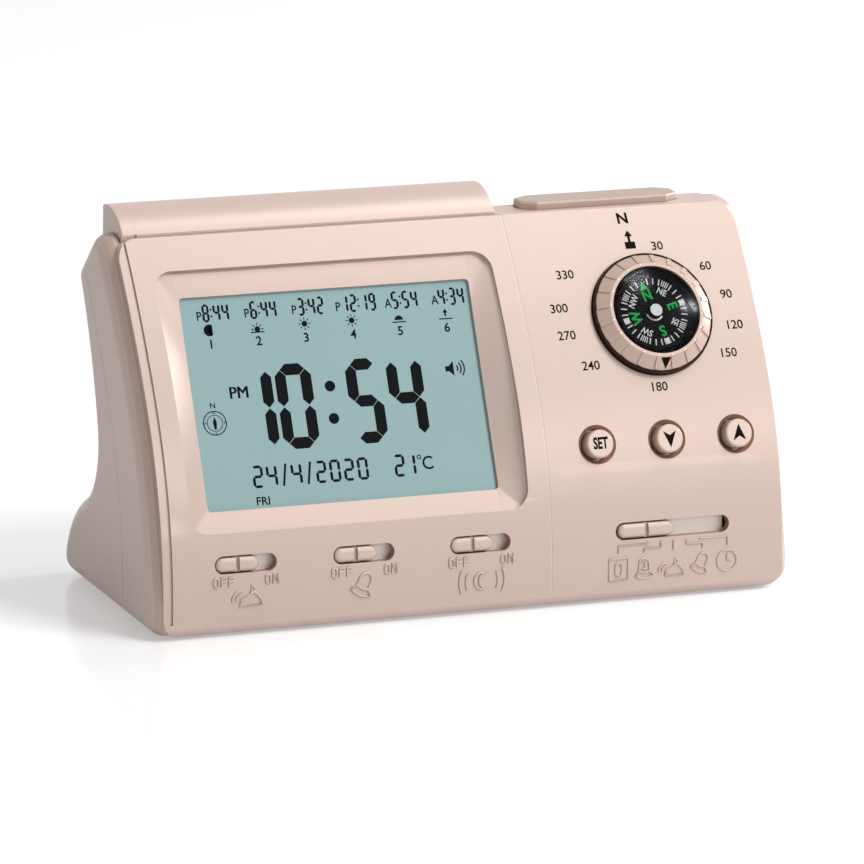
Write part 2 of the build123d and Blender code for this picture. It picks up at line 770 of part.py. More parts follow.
with BuildPart() as front_shell:
    extrude(parting_zone(parting_depth), amount=width, both=True)
    add(housing.part, mode=Mode.INTERSECT)
    # room for the display's holder
    block(window_plane, holder_width + 2 * run_clear, holder_height + 2 * run_clear, 2 * main_board_back,
          -window_edge, mode=Mode.SUBTRACT)
    # compass: recess for the bezel, bore for its sleeve
    disc(compass_plane, bezel_radius + run_clear, -seat_depth, funnel_reach, mode=Mode.SUBTRACT)
    disc(compass_plane, bezel_sleeve_radius + run_clear, cup_bottom, 0, mode=Mode.SUBTRACT)
    # push buttons, in countersunk holes
    for plane in button_planes:
        disc(plane, button_hole_radius, -2 * face_wall, face_wall, mode=Mode.SUBTRACT)
        with BuildSketch(section_plane(plane)):
            sink = button_countersink_radius - button_hole_radius
            Polygon((0, -sink), (button_hole_radius, -sink), (button_countersink_radius + sink, sink),
                    (0, sink), align=None)
        revolve(axis=Axis(plane.origin, plane.z_dir), mode=Mode.SUBTRACT)
    # slots of the slide switches, and room at the side for the mode knob's cover plate
    for plane, length in [*((plane, slot_length) for plane in slot_planes), (mode_plane, mode_slot_length)]:
        with BuildSketch(plane.offset(-2 * face_wall)) as slot_shape:
            SlotOverall(length, slot_width)
        extrude(slot_shape.sketch, amount=3 * face_wall, mode=Mode.SUBTRACT)
    block(mode_plane, mode_pocket_reach, carrier_width + 2 * run_clear,
          carrier_top - carrier_thickness - run_clear, -face_wall, [(mode_pocket_reach / 2, 0)], Mode.SUBTRACT)
    # lines on the face
    face_strip(groove_width, groove_depth, left_x + groove_inset)
    face_strip(seam_width, seam_depth, seam_x)
    # snooze bar and light button
    extrude(bar_pocket.sketch, amount=bar_rise, mode=Mode.SUBTRACT)
    disc(Plane.XY, bar_stem_radius + run_clear, top_board_z, top_z, bar_stem_places, mode=Mode.SUBTRACT)
    with BuildSketch(Plane.XY.offset(ceiling_z - top_wall)):
        with Locations((light_x, top_switch_y)):
            add(light_hole_shape)
    extrude(amount=2 * top_wall + bar_rise, mode=Mode.SUBTRACT)
    # screw holes in the posts
    disc(window_plane, pilot_radius, main_board_back, main_board_back + board_screw_length + seat_gap,
         main_posts_at, Mode.SUBTRACT)
    disc(switch_plane, pilot_radius, switch_board_back, switch_board_back + board_screw_length + seat_gap,
         switch_posts_at, Mode.SUBTRACT)
    disc(button_plane, pilot_radius, button_board_back, button_board_back + board_screw_length + seat_gap,
         button_posts_at, Mode.SUBTRACT)
    disc(Plane.XY, pilot_radius, top_board_back, top_board_back + board_screw_length + seat_gap,
         top_posts_at, Mode.SUBTRACT)
    disc(compass_plane, pilot_radius, bracket_back, bracket_back + board_screw_length + seat_gap,
         bracket_posts_at, Mode.SUBTRACT)
    for x, height in case_screws_at:
        disc(Plane.XZ, case_pilot_radius, -rear_y, case_screw_length + seat_gap - case_floor_y(height),
             [(x, underside_z + height)], Mode.SUBTRACT)
    # foot recesses
    disc(Plane.XY, foot_radius, 0, underside_z + foot_recess, front_feet_at, Mode.SUBTRACT)

# ---- rear shell ----------------------------------------------------------------------------
bay_wide = bay_length + 2 * bay_wall
bay_rear = rear_cell_y + bay_radius + bay_wall


def bay_section(radius, low):
    """Side view round the two cells, open downwards to the level low."""
    with BuildSketch(Plane.YZ) as section:
        with Locations((front_cell_y, cell_z), (rear_cell_y, cell_z)):
            Circle(radius)
        with Locations(((front_cell_y + rear_cell_y) / 2, (cell_z + low) / 2)):
            Rectangle(cell_pitch + 2 * radius, cell_z - low)
        with Locations(((front_cell_y + rear_cell_y) / 2, cell_z + radius / 2)):
            Rectangle(cell_pitch, radius)
    return section.sketch


def door_shape(clear):
    """Sliding door: a wider tongue above, a narrower plate below, trimmed to the body's back."""
    with BuildPart() as shape:
        low_half, high_half = door_width / 2 + clear, door_width / 2 + door_tongue + clear
        lip_z = underside_z + door_lip - clear
        end_y = rear_y + door_travel
        for half, low, high in ((low_half, 0, lip_z), (high_half, lip_z, door_top + clear)):
            with BuildSketch(Plane.XY.offset(low)):
                with Locations((0, (door_front - clear + end_y) / 2)):
                    Rectangle(2 * half, end_y - door_front + clear)
            extrude(amount=high - low)
    return shape.part


door_cut = door_shape(door_clear)
case_tubes = [(x, height, case_floor_y(height)) for x, height in case_screws_at]

# speaker seat and screw bosses, and a thicker floor behind the bay that carries the door's rails
with BuildPart() as rear_fixtures:
    tube(speaker_plane, speaker_rim_radius, speaker_seat_radius, -speaker_radius, speaker_seat_rise)
    disc(speaker_plane, speaker_boss_radius, -speaker_radius, speaker_seat_rise, speaker_screws_at)
    with BuildSketch(Plane.XY.offset(underside_z)):
        with Locations((0, (bay_rear + rear_y) / 2)):
            Rectangle(bay_wide, rear_y - bay_rear + 2 * bay_wall)
    extrude(amount=door_thickness + bay_wall)
    add(outer_body.part, mode=Mode.INTERSECT)

with BuildPart() as rear_shell:
    add(housing.part)
    extrude(parting_zone(parting_depth + parting_gap), amount=width, both=True, mode=Mode.SUBTRACT)
    add(rear_fixtures.part)
    # battery bay
    extrude(bay_section(bay_radius + bay_wall, underside_z), amount=bay_wide / 2, both=True)
    extrude(bay_section(bay_radius, underside_z), amount=bay_length / 2, both=True, mode=Mode.SUBTRACT)
    add(door_cut, mode=Mode.SUBTRACT)
    # grille and screw holes of the speaker
    for row in range(-grille_rows, grille_rows + 1):
        rise = row * grille_pitch
        with BuildSketch(speaker_plane.offset(-speaker_seat_rise)):
            with Locations((0, rise)):
                SlotOverall(2 * sqrt(grille_radius ** 2 - rise ** 2), grille_slot)
        extrude(amount=2 * speaker_seat_rise, mode=Mode.SUBTRACT)
    disc(speaker_plane, pilot_radius, speaker_flange_back - speaker_screw_length - seat_gap,
         speaker_seat_rise, speaker_screws_at, Mode.SUBTRACT)
    # bores and holes of the case screws
    for x, height, floor_y in case_tubes:
        place = [(x, underside_z + height)]
        disc(Plane.XZ, case_bore_radius, -2 * rear_y, -floor_y, place, Mode.SUBTRACT)
        disc(Plane.XZ, case_screw_hole_radius, -rear_y, rear_y, place, Mode.SUBTRACT)
    disc(Plane.XY, foot_radius, 0, underside_z + foot_recess, rear_feet_at, Mode.SUBTRACT)

# ---- battery door --------------------------------------------------------------------------
with BuildPart() as battery_door:
    add(door_shape(0.0))
    add(outer_body.part, mode=Mode.INTERSECT)
    with BuildSketch(Plane.XY.offset(underside_z)):
        with Locations((0, rear_cell_y)):
            with GridLocations(0, door_grip_pitch, 1, door_grip_lines):
                Rectangle(door_grip_width, door_grip_slot)
    extrude(amount=door_grip_depth, mode=Mode.SUBTRACT)

# ---- batteries, springs and contact plates -------------------------------------------------
# the rear cell's positive end points to +X, the front cell's to -X
plate_x = bay_length / 2 - seat_gap
cell_nose_x = plate_x - plate_thickness - seat_gap / 2
cell_tail_x = cell_nose_x - cell_length
spring_length = cell_tail_x + plate_x - plate_thickness - seat_gap
cell_rows = ((rear_cell_y, 1), (front_cell_y, -1))

with BuildPart() as batteries:
    for y, side in cell_rows:
        row_plane = Plane(origin=(0, y, cell_z), x_dir=(0, 1, 0), z_dir=(side, 0, 0))
        disc(row_plane, cell_radius, cell_tail_x, cell_nose_x - cell_button)
        disc(row_plane, cell_button_radius, cell_nose_x - cell_button, cell_nose_x)

with BuildPart() as battery_plates:
    for side in (-1, 1):
        plate_plane = Plane(origin=(0, (front_cell_y + rear_cell_y) / 2, cell_z), x_dir=(0, 1, 0),
                            z_dir=(side, 0, 0))
        block(plate_plane, cell_pitch + cell_radius, cell_radius, plate_x - plate_thickness, plate_x)

with BuildPart() as battery_springs:
    for y, side in cell_rows:
        rise = spring_length - 2 * spring_wire
        coil_cone = degrees(atan2(spring_base_radius - spring_tip_radius, rise))
        with BuildLine() as coil:
            Helix(pitch=rise / spring_turns, height=rise, radius=spring_tip_radius, cone_angle=coil_cone,
                  center=(side * (cell_tail_x - seat_gap / 2 - spring_wire), y, cell_z),
                  direction=(-side, 0, 0))
        with BuildSketch(Plane(origin=coil.line @ 0, z_dir=coil.line % 0)):
            RegularPolygon(spring_wire, 6)
        sweep(path=coil.line)

# ---- speaker -------------------------------------------------------------------------------
with BuildPart() as speaker_frame:
    with BuildSketch(speaker_plane.offset(speaker_seat_rise)):
        Circle(speaker_radius)
        with Locations(*speaker_screws_at):
            Circle(speaker_ear_radius)
        with Locations(*speaker_screws_at):
            Circle(board_screw_radius + board_hole_clear, mode=Mode.SUBTRACT)
        Circle(speaker_cone_radius, mode=Mode.SUBTRACT)
    extrude(amount=speaker_flange)
    with BuildSketch(section_plane(speaker_plane)):
        deep = speaker_seat_rise + speaker_basket_depth
        inner_deep = deep - speaker_basket_wall
        basket_radius = speaker_cone_radius + speaker_basket_wall
        Polygon((speaker_cone_radius, speaker_seat_rise), (basket_radius, speaker_seat_rise),
                (basket_radius, speaker_flange_back), (speaker_magnet_radius, deep), (speaker_coil_radius, deep),
                (speaker_coil_radius, inner_deep), (speaker_magnet_radius, inner_deep),
                (speaker_cone_radius, speaker_flange_back), align=None)
    revolve(axis=Axis(speaker_plane.origin, speaker_plane.z_dir))

with BuildPart() as speaker_magnet:
    disc(speaker_plane, speaker_magnet_radius, speaker_magnet_top, speaker_magnet_top + speaker_magnet_depth)

with BuildPart() as speaker_cone:
    with BuildSketch(section_plane(speaker_plane)):
        rim = speaker_cone_radius - run_clear
        near, far = speaker_seat_rise + speaker_flange / 2, speaker_seat_rise + speaker_cone_depth
        thick = speaker_cone_thickness
        Polygon((rim, near), (rim, near + thick), (rim - thick, near + thick),
                (speaker_cap_radius, far + thick), (speaker_cap_radius, far), (rim - thick, near), align=None)
        Polygon((0, near), (speaker_cap_radius, far), (speaker_cap_radius, far + thick), (0, near + thick),
                align=None)
    revolve(axis=Axis(speaker_plane.origin, speaker_plane.z_dir))

with BuildPart() as speaker_screws:
    disc(speaker_plane, board_screw_head_radius, speaker_flange_back, speaker_flange_back + board_screw_head,
         speaker_screws_at)
    disc(speaker_plane, board_screw_radius, speaker_flange_back - speaker_screw_length, speaker_flange_back,
         speaker_screws_at)

# ---- snooze bar ----------------------------------------------------------------------------
bar_skirt = top_z - bar_recess + bar_travel + bar_clear
bar_tail = shoulder[1] + shoulder[0] - bar_back + bar_travel + bar_clear
with BuildSketch(Plane.YZ.offset(bar_left)) as bar_outline:
    with BuildLine():
        nose = (bar_front, top_z + bar_nose)
        crest = (bar_back, top_z + bar_rise)
        ThreePointArc(nose, (bar_front + bar_depth * bar_crown_share, top_z + bar_crown), crest)
        Polyline(crest, (bar_back, bar_tail), (bar_back - (bar_skirt - bar_tail), bar_skirt),
                 (bar_front, bar_skirt), nose)
    make_face()

with BuildPart() as snooze_bar:
    extrude(bar_outline.sketch, amount=bar_right - bar_left)
    fillet(edges().filter_by(GeomType.CIRCLE), radius=bar_end_round)
    with BuildSketch(Plane.YZ.offset(bar_left + bar_wall)):
        add(bar_outline.sketch_local)
        offset(amount=-bar_wall)
        with Locations(((bar_front + bar_back) / 2, (bar_tail + top_z) / 2)):
            Rectangle(bar_depth - 2 * bar_wall, top_z - bar_tail + 2 * bar_nose)
    extrude(amount=bar_right - bar_left - 2 * bar_wall, mode=Mode.SUBTRACT)
    disc(Plane.XY, bar_stem_radius, top_stem_end, top_z + bar_nose + bar_wall, bar_stem_places)
    with BuildSketch(Plane.YZ.offset(bar_left + bar_line_inset)):
        add(bar_outline.sketch_local)
        offset(amount=-bar_line_depth, mode=Mode.SUBTRACT)
        with Locations(((bar_front + bar_back) / 2, bar_skirt)):
            Rectangle(2 * bar_depth, 2 * bar_nose, mode=Mode.SUBTRACT)
    extrude(amount=bar_line_width, mode=Mode.SUBTRACT)

# ---- light button --------------------------------------------------------------------------
light_flange_z = ceiling_z - seat_gap
with BuildPart() as light_button:
    with BuildSketch(Plane.XY.offset(light_flange_z)):
        with Locations((light_x, top_switch_y)):
            add(light_shape)
    extrude(amount=top_z + light_button_stand - light_flange_z)
    fillet(edges().group_by(Axis.Z)[-1], radius=light_button_round)
    block(Plane.XY, light_button_length + 2 * light_button_catch, light_button_width - 2 * light_button_round,
          light_flange_z - light_button_flange, light_flange_z, [(light_x, top_switch_y)])
    disc(Plane.XY, button_stem_radius, top_stem_end, light_flange_z, [(light_x, top_switch_y)])

# ---- push buttons and their board ----------------------------------------------------------
def push_button(plane):
    """Round button with a retaining flange and a stem that presses its switch."""
    with BuildPart() as button:
        with BuildSketch(section_plane(plane)):
            flange_back = button_flange_top - button_flange
            Polygon((0, button_stem_end), (button_stem_radius, button_stem_end),
                    (button_stem_radius, flange_back), (button_flange_radius, flange_back),
                    (button_flange_radius, button_flange_top),
                    (button_radius, button_flange_top), (button_radius, button_stand), (0, button_stand),
                    align=None)
            fillet(vertices().sort_by_distance((button_radius, button_stand))[0], radius=button_edge)
        revolve(axis=Axis(plane.origin, plane.z_dir))
    return button.part


set_plane, down_plane, up_plane = button_planes
with BuildPart() as set_button:
    add(push_button(set_plane))
with BuildPart() as down_button:
    add(push_button(down_plane))
with BuildPart() as up_button:
    add(push_button(up_plane))

with BuildPart() as button_board:
    block(button_plane, button_board_width, button_board_height, button_board_back, button_board_top)
    disc(button_plane, board_screw_radius + board_hole_clear, button_board_back, button_board_top,
         button_posts_at, Mode.SUBTRACT)

with BuildPart() as button_switches:
    for plane in button_planes:
        block(plane, tact_size, tact_size, button_board_top, button_board_top + tact_body)
        disc(plane, tact_plunger_radius, button_board_top + tact_body, button_tact_top)

# ---- board and switches under the top ------------------------------------------------------
top_switches_at = [*bar_stem_places, (light_x, top_switch_y)]
top_board_left = top_posts_at[0][0] - top_board_margin
top_board_right = top_posts_at[-1][0] + top_board_margin
with BuildPart() as top_board:
    block(Plane.XY, top_board_right - top_board_left, top_board_depth, top_board_back, top_board_z,
          [((top_board_left + top_board_right) / 2, top_post_y)])
    disc(Plane.XY, board_screw_radius + board_hole_clear, top_board_back, top_board_z, top_posts_at,
         Mode.SUBTRACT)

with BuildPart() as top_switches:
    block(Plane.XY, tact_size, tact_size, top_board_z, top_board_z + tact_body, top_switches_at)
    disc(Plane.XY, tact_plunger_radius, top_board_z + tact_body, top_tact_top, top_switches_at)


# ---- slide switches ------------------------------------------------------------------------
def slide_knob(plane, travel, length, reach):
    """Rounded knob with a cover plate under the face and a lever, at the left end of its travel."""
    centre = -travel / 2
    with BuildPart() as knob:
        with BuildSketch(plane.offset(carrier_top)) as knob_shape:
            with Locations((centre, 0)):
                SlotOverall(length, knob_width)
        extrude(knob_shape.sketch, amount=knob_stand - carrier_top)
        knob_rim = faces().sort_by(Axis(plane.origin, plane.z_dir))[-1].edges()
        fillet(knob_rim, radius=knob_round)
        block(plane, knob_groove_width, 2 * knob_width, knob_stand - knob_groove_depth, knob_stand,
              [(centre, 0)], Mode.SUBTRACT)
        block(plane, 2 * reach, carrier_width, carrier_top - carrier_thickness, carrier_top, [(centre, 0)])
        block(plane, lever_size, lever_size, carrier_top - carrier_thickness - lever_length, carrier_top,
              [(centre, 0)])
    return knob.part


def slide_switch(plane, length, travel):
    """Switch body on the board with a slot for the knob's lever."""
    block(plane, length, slide_switch_width, switch_board_top, switch_top)
    block(plane, travel + lever_size + 2 * lever_clear, lever_size + 2 * lever_clear,
          carrier_top - carrier_thickness - lever_length - lever_clear, switch_top, mode=Mode.SUBTRACT)


knob_travel = slot_length - knob_length - 2 * knob_end_clear
carrier_reach = (slot_length + knob_travel) / 2 + carrier_margin
azan_plane, alarm_plane, snooze_plane = slot_planes
with BuildPart() as azan_switch_knob:
    add(slide_knob(azan_plane, knob_travel, knob_length, carrier_reach))
with BuildPart() as alarm_switch_knob:
    add(slide_knob(alarm_plane, knob_travel, knob_length, carrier_reach))
with BuildPart() as snooze_switch_knob:
    add(slide_knob(snooze_plane, knob_travel, knob_length, carrier_reach))
with BuildPart() as mode_switch_knob:
    add(slide_knob(mode_plane, mode_travel, mode_knob_length, mode_carrier_reach))

with BuildPart() as slide_switches:
    for plane in slot_planes:
        slide_switch(plane, slide_switch_length, knob_travel)

with BuildPart() as mode_switch:
    slide_switch(mode_plane, mode_switch_length, mode_travel)

with BuildPart() as switch_board:
    block(switch_plane, switch_board_width, switch_board_low + switch_board_high, switch_board_back,
          switch_board_top, [(0, (switch_board_high - switch_board_low) / 2)])
    disc(switch_plane, board_screw_radius + board_hole_clear, switch_board_back, switch_board_top,
         switch_posts_at, Mode.SUBTRACT)

# ---- display -------------------------------------------------------------------------------
with BuildPart() as lcd_panel:
    block(window_plane, lcd_width, lcd_height, lcd_back, lcd_top)

guide_place = [(0, light_guide_rise)]
zebra_place = [(0, zebra_rise)]
with BuildPart() as backlight_panel:
    block(window_plane, light_guide_width, light_guide_height, guide_top - light_guide_thickness, guide_top,
          guide_place)

with BuildPart() as lcd_holder:
    block(window_plane, holder_width, holder_height, holder_back, lcd_top - seat_gap)
    block(window_plane, lcd_width + 2 * run_clear, lcd_height + 2 * run_clear, guide_top, lcd_top,
          mode=Mode.SUBTRACT)
    block(window_plane, light_guide_width + run_clear, light_guide_height + run_clear,
          holder_back + holder_floor, lcd_top, guide_place, Mode.SUBTRACT)
    block(window_plane, zebra_length + run_clear, zebra_width + seat_gap, holder_back, lcd_top, zebra_place,
          Mode.SUBTRACT)

with BuildPart() as zebra_strip:
    block(window_plane, zebra_length, zebra_width, main_board_top, lcd_back, zebra_place)

main_ear_width = 2 * (main_post_x + post_radius + run_clear) - 2 * press_clear
with BuildPart() as main_board:
    block(window_plane, lcd_width + 2 * run_clear + holder_wall, main_board_height, main_board_back,
          main_board_top, [(0, -(holder_height - main_board_height) / 2)])
    block(window_plane, main_ear_width, main_ear_height, main_board_back, main_board_top,
          [(0, -main_ear_rise), (0, main_ear_rise)])
    disc(window_plane, board_screw_radius + board_hole_clear, main_board_back, main_board_top,
         main_posts_at, Mode.SUBTRACT)

chip_plane = Plane(window_plane.location * Location((*chip_place, main_board_back)))
with BuildPart() as controller_blob:
    with BuildSketch(section_plane(chip_plane)):
        with BuildLine():
            ThreePointArc((0, -chip_height),
                          (chip_radius / 2, -cap_height(chip_radius, chip_height, chip_radius / 2)),
                          (chip_radius, 0))
            Polyline((chip_radius, 0), (0, 0), (0, -chip_height))
        make_face()
    revolve(axis=Axis(chip_plane.origin, chip_plane.z_dir))

with BuildPart() as board_screws:
    for base, places, board_back in ((window_plane, main_posts_at, main_board_back),
                                     (switch_plane, switch_posts_at, switch_board_back),
                                     (button_plane, button_posts_at, button_board_back),
                                     (Plane.XY, top_posts_at, top_board_back),
                                     (compass_plane, bracket_posts_at, bracket_back)):
        screws(base, places, board_back, board_screw_head_radius, board_screw_head, board_screw_radius,
               board_screw_length)

with BuildPart() as case_screws:
    for x, height, floor_y in case_tubes:
        screws(Plane.XZ, [(x, underside_z + height)], -floor_y, case_screw_head_radius, case_screw_head,
               case_screw_radius, case_screw_length)

# ---- compass -------------------------------------------------------------------------------
compass_axis = Axis(compass_plane.origin, compass_plane.z_dir)
with BuildPart() as bezel_ring:
    with BuildSketch(section_plane(compass_plane)):
        Polygon((bezel_bore_radius, bezel_height), (bezel_lip_radius, bezel_height),
                (bezel_cone_radius, bezel_wall_height), (bezel_radius, bezel_wall_height),
                (bezel_radius, -bezel_sink), (bezel_sleeve_radius, -bezel_sink),
                (bezel_sleeve_radius, sleeve_end), (bezel_bore_radius, sleeve_end), align=None)
    revolve(axis=compass_axis)
    for i in range(bezel_ribs):
        with BuildSketch(section_plane(compass_plane, (i + 0.5) * 360 / bezel_ribs)):
            Polygon((bezel_lip_radius, bezel_height - bezel_rib_height),
                    (bezel_lip_radius + bezel_rib_height, bezel_height),
                    (bezel_cone_radius, bezel_wall_height + bezel_rib_height),
                    (bezel_cone_radius, bezel_wall_height - bezel_rib_height), align=None)
        extrude(amount=bezel_rib_width / 2, both=True)

with BuildPart() as bezel_clip:
    tube(compass_plane, clip_radius, bezel_sleeve_radius + press_clear, clip_top - clip_thickness, clip_top)

with BuildPart() as compass_cup:
    disc(compass_plane, cup_radius, cup_bottom, cup_rim)
    disc(compass_plane, cup_radius - cup_wall, cup_bottom + cup_floor, cup_rim, mode=Mode.SUBTRACT)

with BuildPart() as compass_lens:
    with BuildSketch(section_plane(compass_plane)):
        inner_radius, inner_crown = cup_radius - cup_wall, lens_crown - lens_thickness
        rim_top = cup_rim + lens_rim
        outer_half = rim_top + cap_height(cup_radius, lens_crown - rim_top, cup_radius / 2)
        inner_half = cup_rim + cap_height(inner_radius, inner_crown - cup_rim, inner_radius / 2)
        with BuildLine():
            ThreePointArc((0, lens_crown), (cup_radius / 2, outer_half), (cup_radius, rim_top))
            Polyline((cup_radius, rim_top), (cup_radius, cup_rim), (inner_radius, cup_rim))
            ThreePointArc((inner_radius, cup_rim), (inner_radius / 2, inner_half), (0, inner_crown))
            Line((0, inner_crown), (0, lens_crown))
        make_face()
    revolve(axis=compass_axis)

card_bottom = card_top - card_thickness
hub_hole_top = hub_top - hub_roof
with BuildPart() as compass_card:
    disc(compass_plane, card_radius, card_bottom, card_top)
    disc(compass_plane, hub_radius, hub_bottom, hub_top)
    disc(compass_plane, pivot_radius + pivot_clear, hub_bottom, hub_hole_top, mode=Mode.SUBTRACT)

with BuildPart() as card_magnet:
    magnet_bottom = card_bottom - magnet_thickness
    block(turned_plane(compass_plane, card_turn), magnet_width, 2 * magnet_radius, magnet_bottom, card_bottom)
    disc(compass_plane, hub_radius + press_clear, magnet_bottom, card_bottom, mode=Mode.SUBTRACT)

with BuildPart() as compass_pivot:
    disc(compass_plane, pivot_radius, cup_bottom + cup_floor, hub_hole_top - pivot_clear)

with BuildPart() as compass_bracket:
    disc(compass_plane, bracket_radius, bracket_back, cup_bottom)
    disc(compass_plane, board_screw_radius + board_hole_clear, bracket_back, cup_bottom, bracket_posts_at,
         Mode.SUBTRACT)

# ---- feet ----------------------------------------------------------------------------------
with BuildPart() as rubber_feet:
    disc(Plane.XY, foot_radius - press_clear, 0, underside_z + foot_recess, front_feet_at + rear_feet_at)

# ---- export --------------------------------------------------------------------------------
os.makedirs("parts", exist_ok=True)
front_shell.part.label = "front_shell"
rear_shell.part.label = "rear_shell"
battery_door.part.label = "battery_door"
rubber_feet.part.label = "rubber_feet"
case_screws.part.label = "case_screws"
lcd_panel.part.label = "lcd_panel"
backlight_panel.part.label = "backlight_panel"
lcd_holder.part.label = "lcd_holder"
zebra_strip.part.label = "zebra_strip"
main_board.part.label = "main_board"
controller_blob.part.label = "controller_blob"
board_screws.part.label = "board_screws"
snooze_bar.part.label = "snooze_bar"
light_button.part.label = "light_button"
top_board.part.label = "top_board"
top_switches.part.label = "top_switches"
set_button.part.label = "set_button"
down_button.part.label = "down_button"
up_button.part.label = "up_button"
button_board.part.label = "button_board"
button_switches.part.label = "button_switches"
azan_switch_knob.part.label = "azan_switch_knob"
alarm_switch_knob.part.label = "alarm_switch_knob"
snooze_switch_knob.part.label = "snooze_switch_knob"
mode_switch_knob.part.label = "mode_switch_knob"
switch_board.part.label = "switch_board"
slide_switches.part.label = "slide_switches"
mode_switch.part.label = "mode_switch"
bezel_ring.part.label = "bezel_ring"
bezel_clip.part.label = "bezel_clip"
compass_cup.part.label = "compass_cup"
compass_card.part.label = "compass_card"
card_magnet.part.label = "card_magnet"
compass_pivot.part.label = "compass_pivot"
compass_lens.part.label = "compass_lens"
compass_bracket.part.label = "compass_bracket"
speaker_frame.part.label = "speaker_frame"
speaker_magnet.part.label = "speaker_magnet"
speaker_cone.part.label = "speaker_cone"
speaker_screws.part.label = "speaker_screws"
batteries.part.label = "batteries"
battery_springs.part.label = "battery_springs"
battery_plates.part.label = "battery_plates"
export_step(front_shell.part, "parts/front_shell.step")
export_step(rear_shell.part, "parts/rear_shell.step")
export_step(battery_door.part, "parts/battery_door.step")
export_step(rubber_feet.part, "parts/rubber_feet.step")
export_step(case_screws.part, "parts/case_screws.step")
export_step(lcd_panel.part, "parts/lcd_panel.step")
export_step(backlight_panel.part, "parts/backlight_panel.step")
export_step(lcd_holder.part, "parts/lcd_holder.step")
export_step(zebra_strip.part, "parts/zebra_strip.step")
export_step(main_board.part, "parts/main_board.step")
export_step(controller_blob.part, "parts/controller_blob.step")
export_step(board_screws.part, "parts/board_screws.step")
export_step(snooze_bar.part, "parts/snooze_bar.step")
export_step(light_button.part, "parts/light_button.step")
export_step(top_board.part, "parts/top_board.step")
export_step(top_switches.part, "parts/top_switches.step")
export_step(set_button.part, "parts/set_button.step")
export_step(down_button.part, "parts/down_button.step")
export_step(up_button.part, "parts/up_button.step")
export_step(button_board.part, "parts/button_board.step")
export_step(button_switches.part, "parts/button_switches.step")
export_step(azan_switch_knob.part, "parts/azan_switch_knob.step")
export_step(alarm_switch_knob.part, "parts/alarm_switch_knob.step")
export_step(snooze_switch_knob.part, "parts/snooze_switch_knob.step")
export_step(mode_switch_knob.part, "parts/mode_switch_knob.step")
export_step(switch_board.part, "parts/switch_board.step")
export_step(slide_switches.part, "parts/slide_switches.step")
export_step(mode_switch.part, "parts/mode_switch.step")
export_step(bezel_ring.part, "parts/bezel_ring.step")
export_step(bezel_clip.part, "parts/bezel_clip.step")
export_step(compass_cup.part, "parts/compass_cup.step")
export_step(compass_card.part, "parts/compass_card.step")
export_step(card_magnet.part, "parts/card_magnet.step")
export_step(compass_pivot.part, "parts/compass_pivot.step")
export_step(compass_lens.part, "parts/compass_lens.step")
export_step(compass_bracket.part, "parts/compass_bracket.step")
export_step(speaker_frame.part, "parts/speaker_frame.step")
export_step(speaker_magnet.part, "parts/speaker_magnet.step")
export_step(speaker_cone.part, "parts/speaker_cone.step")
export_step(speaker_screws.part, "parts/speaker_screws.step")
export_step(batteries.part, "parts/batteries.step")
export_step(battery_springs.part, "parts/battery_springs.step")
export_step(battery_plates.part, "parts/battery_plates.step")
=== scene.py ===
import json
import math
import bpy
from mathutils import Matrix, Vector


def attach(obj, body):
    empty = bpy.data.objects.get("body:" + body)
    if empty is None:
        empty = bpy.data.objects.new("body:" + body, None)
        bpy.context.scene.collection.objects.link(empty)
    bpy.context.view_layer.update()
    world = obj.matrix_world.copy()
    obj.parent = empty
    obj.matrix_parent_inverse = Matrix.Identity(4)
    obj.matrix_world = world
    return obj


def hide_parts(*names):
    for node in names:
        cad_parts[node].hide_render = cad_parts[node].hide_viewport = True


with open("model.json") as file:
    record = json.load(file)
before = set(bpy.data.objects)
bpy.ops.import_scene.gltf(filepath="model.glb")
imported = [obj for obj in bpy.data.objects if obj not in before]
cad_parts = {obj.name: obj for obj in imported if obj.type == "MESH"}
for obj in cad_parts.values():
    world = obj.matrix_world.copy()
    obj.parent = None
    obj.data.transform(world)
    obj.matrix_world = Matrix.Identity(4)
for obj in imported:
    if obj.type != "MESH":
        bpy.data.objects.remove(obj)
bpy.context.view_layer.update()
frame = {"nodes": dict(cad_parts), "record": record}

bl_info = {
    "name": "Desk alarm clock with compass",
    "version": (1, 0, 0),
    "blender": (4, 5, 0),
    "location": "View3D > Sidebar > Clock",
    "description": "Finishes, display, printed marks and compass card of a desk alarm clock",
    "category": "Object",
}

MM = 0.001

# ---- places taken from the case's own shape, in millimetres and degrees ----
# an arc is given by the y and z of its centre and by its radius
FACE_LOWER = (62.8, 3.9, 93.7)
FACE_BREAK = 29.0  # lean at which the face's upper arc takes over
UPPER_RADIUS = 212.0
FACE_UPPER = (
    FACE_LOWER[0] + (UPPER_RADIUS - FACE_LOWER[2]) * math.cos(math.radians(FACE_BREAK)),
    FACE_LOWER[1] - (UPPER_RADIUS - FACE_LOWER[2]) * math.sin(math.radians(FACE_BREAK)),
    UPPER_RADIUS,
)
FACE_STEP = 2.0  # the body beside the raised face lies this far below it
SURROUND_STEP = 1.1  # upright wall round the display's funnel
REAR_ARCS = ((26.0001, 35.417, 16.0), (132.23967, 8.92848, 125.49193), (8.42804, 0.6, 23.0))
BAR_ARC = (15.29793, 76.75249, 12.14205)
UNDERSIDE = 0.6
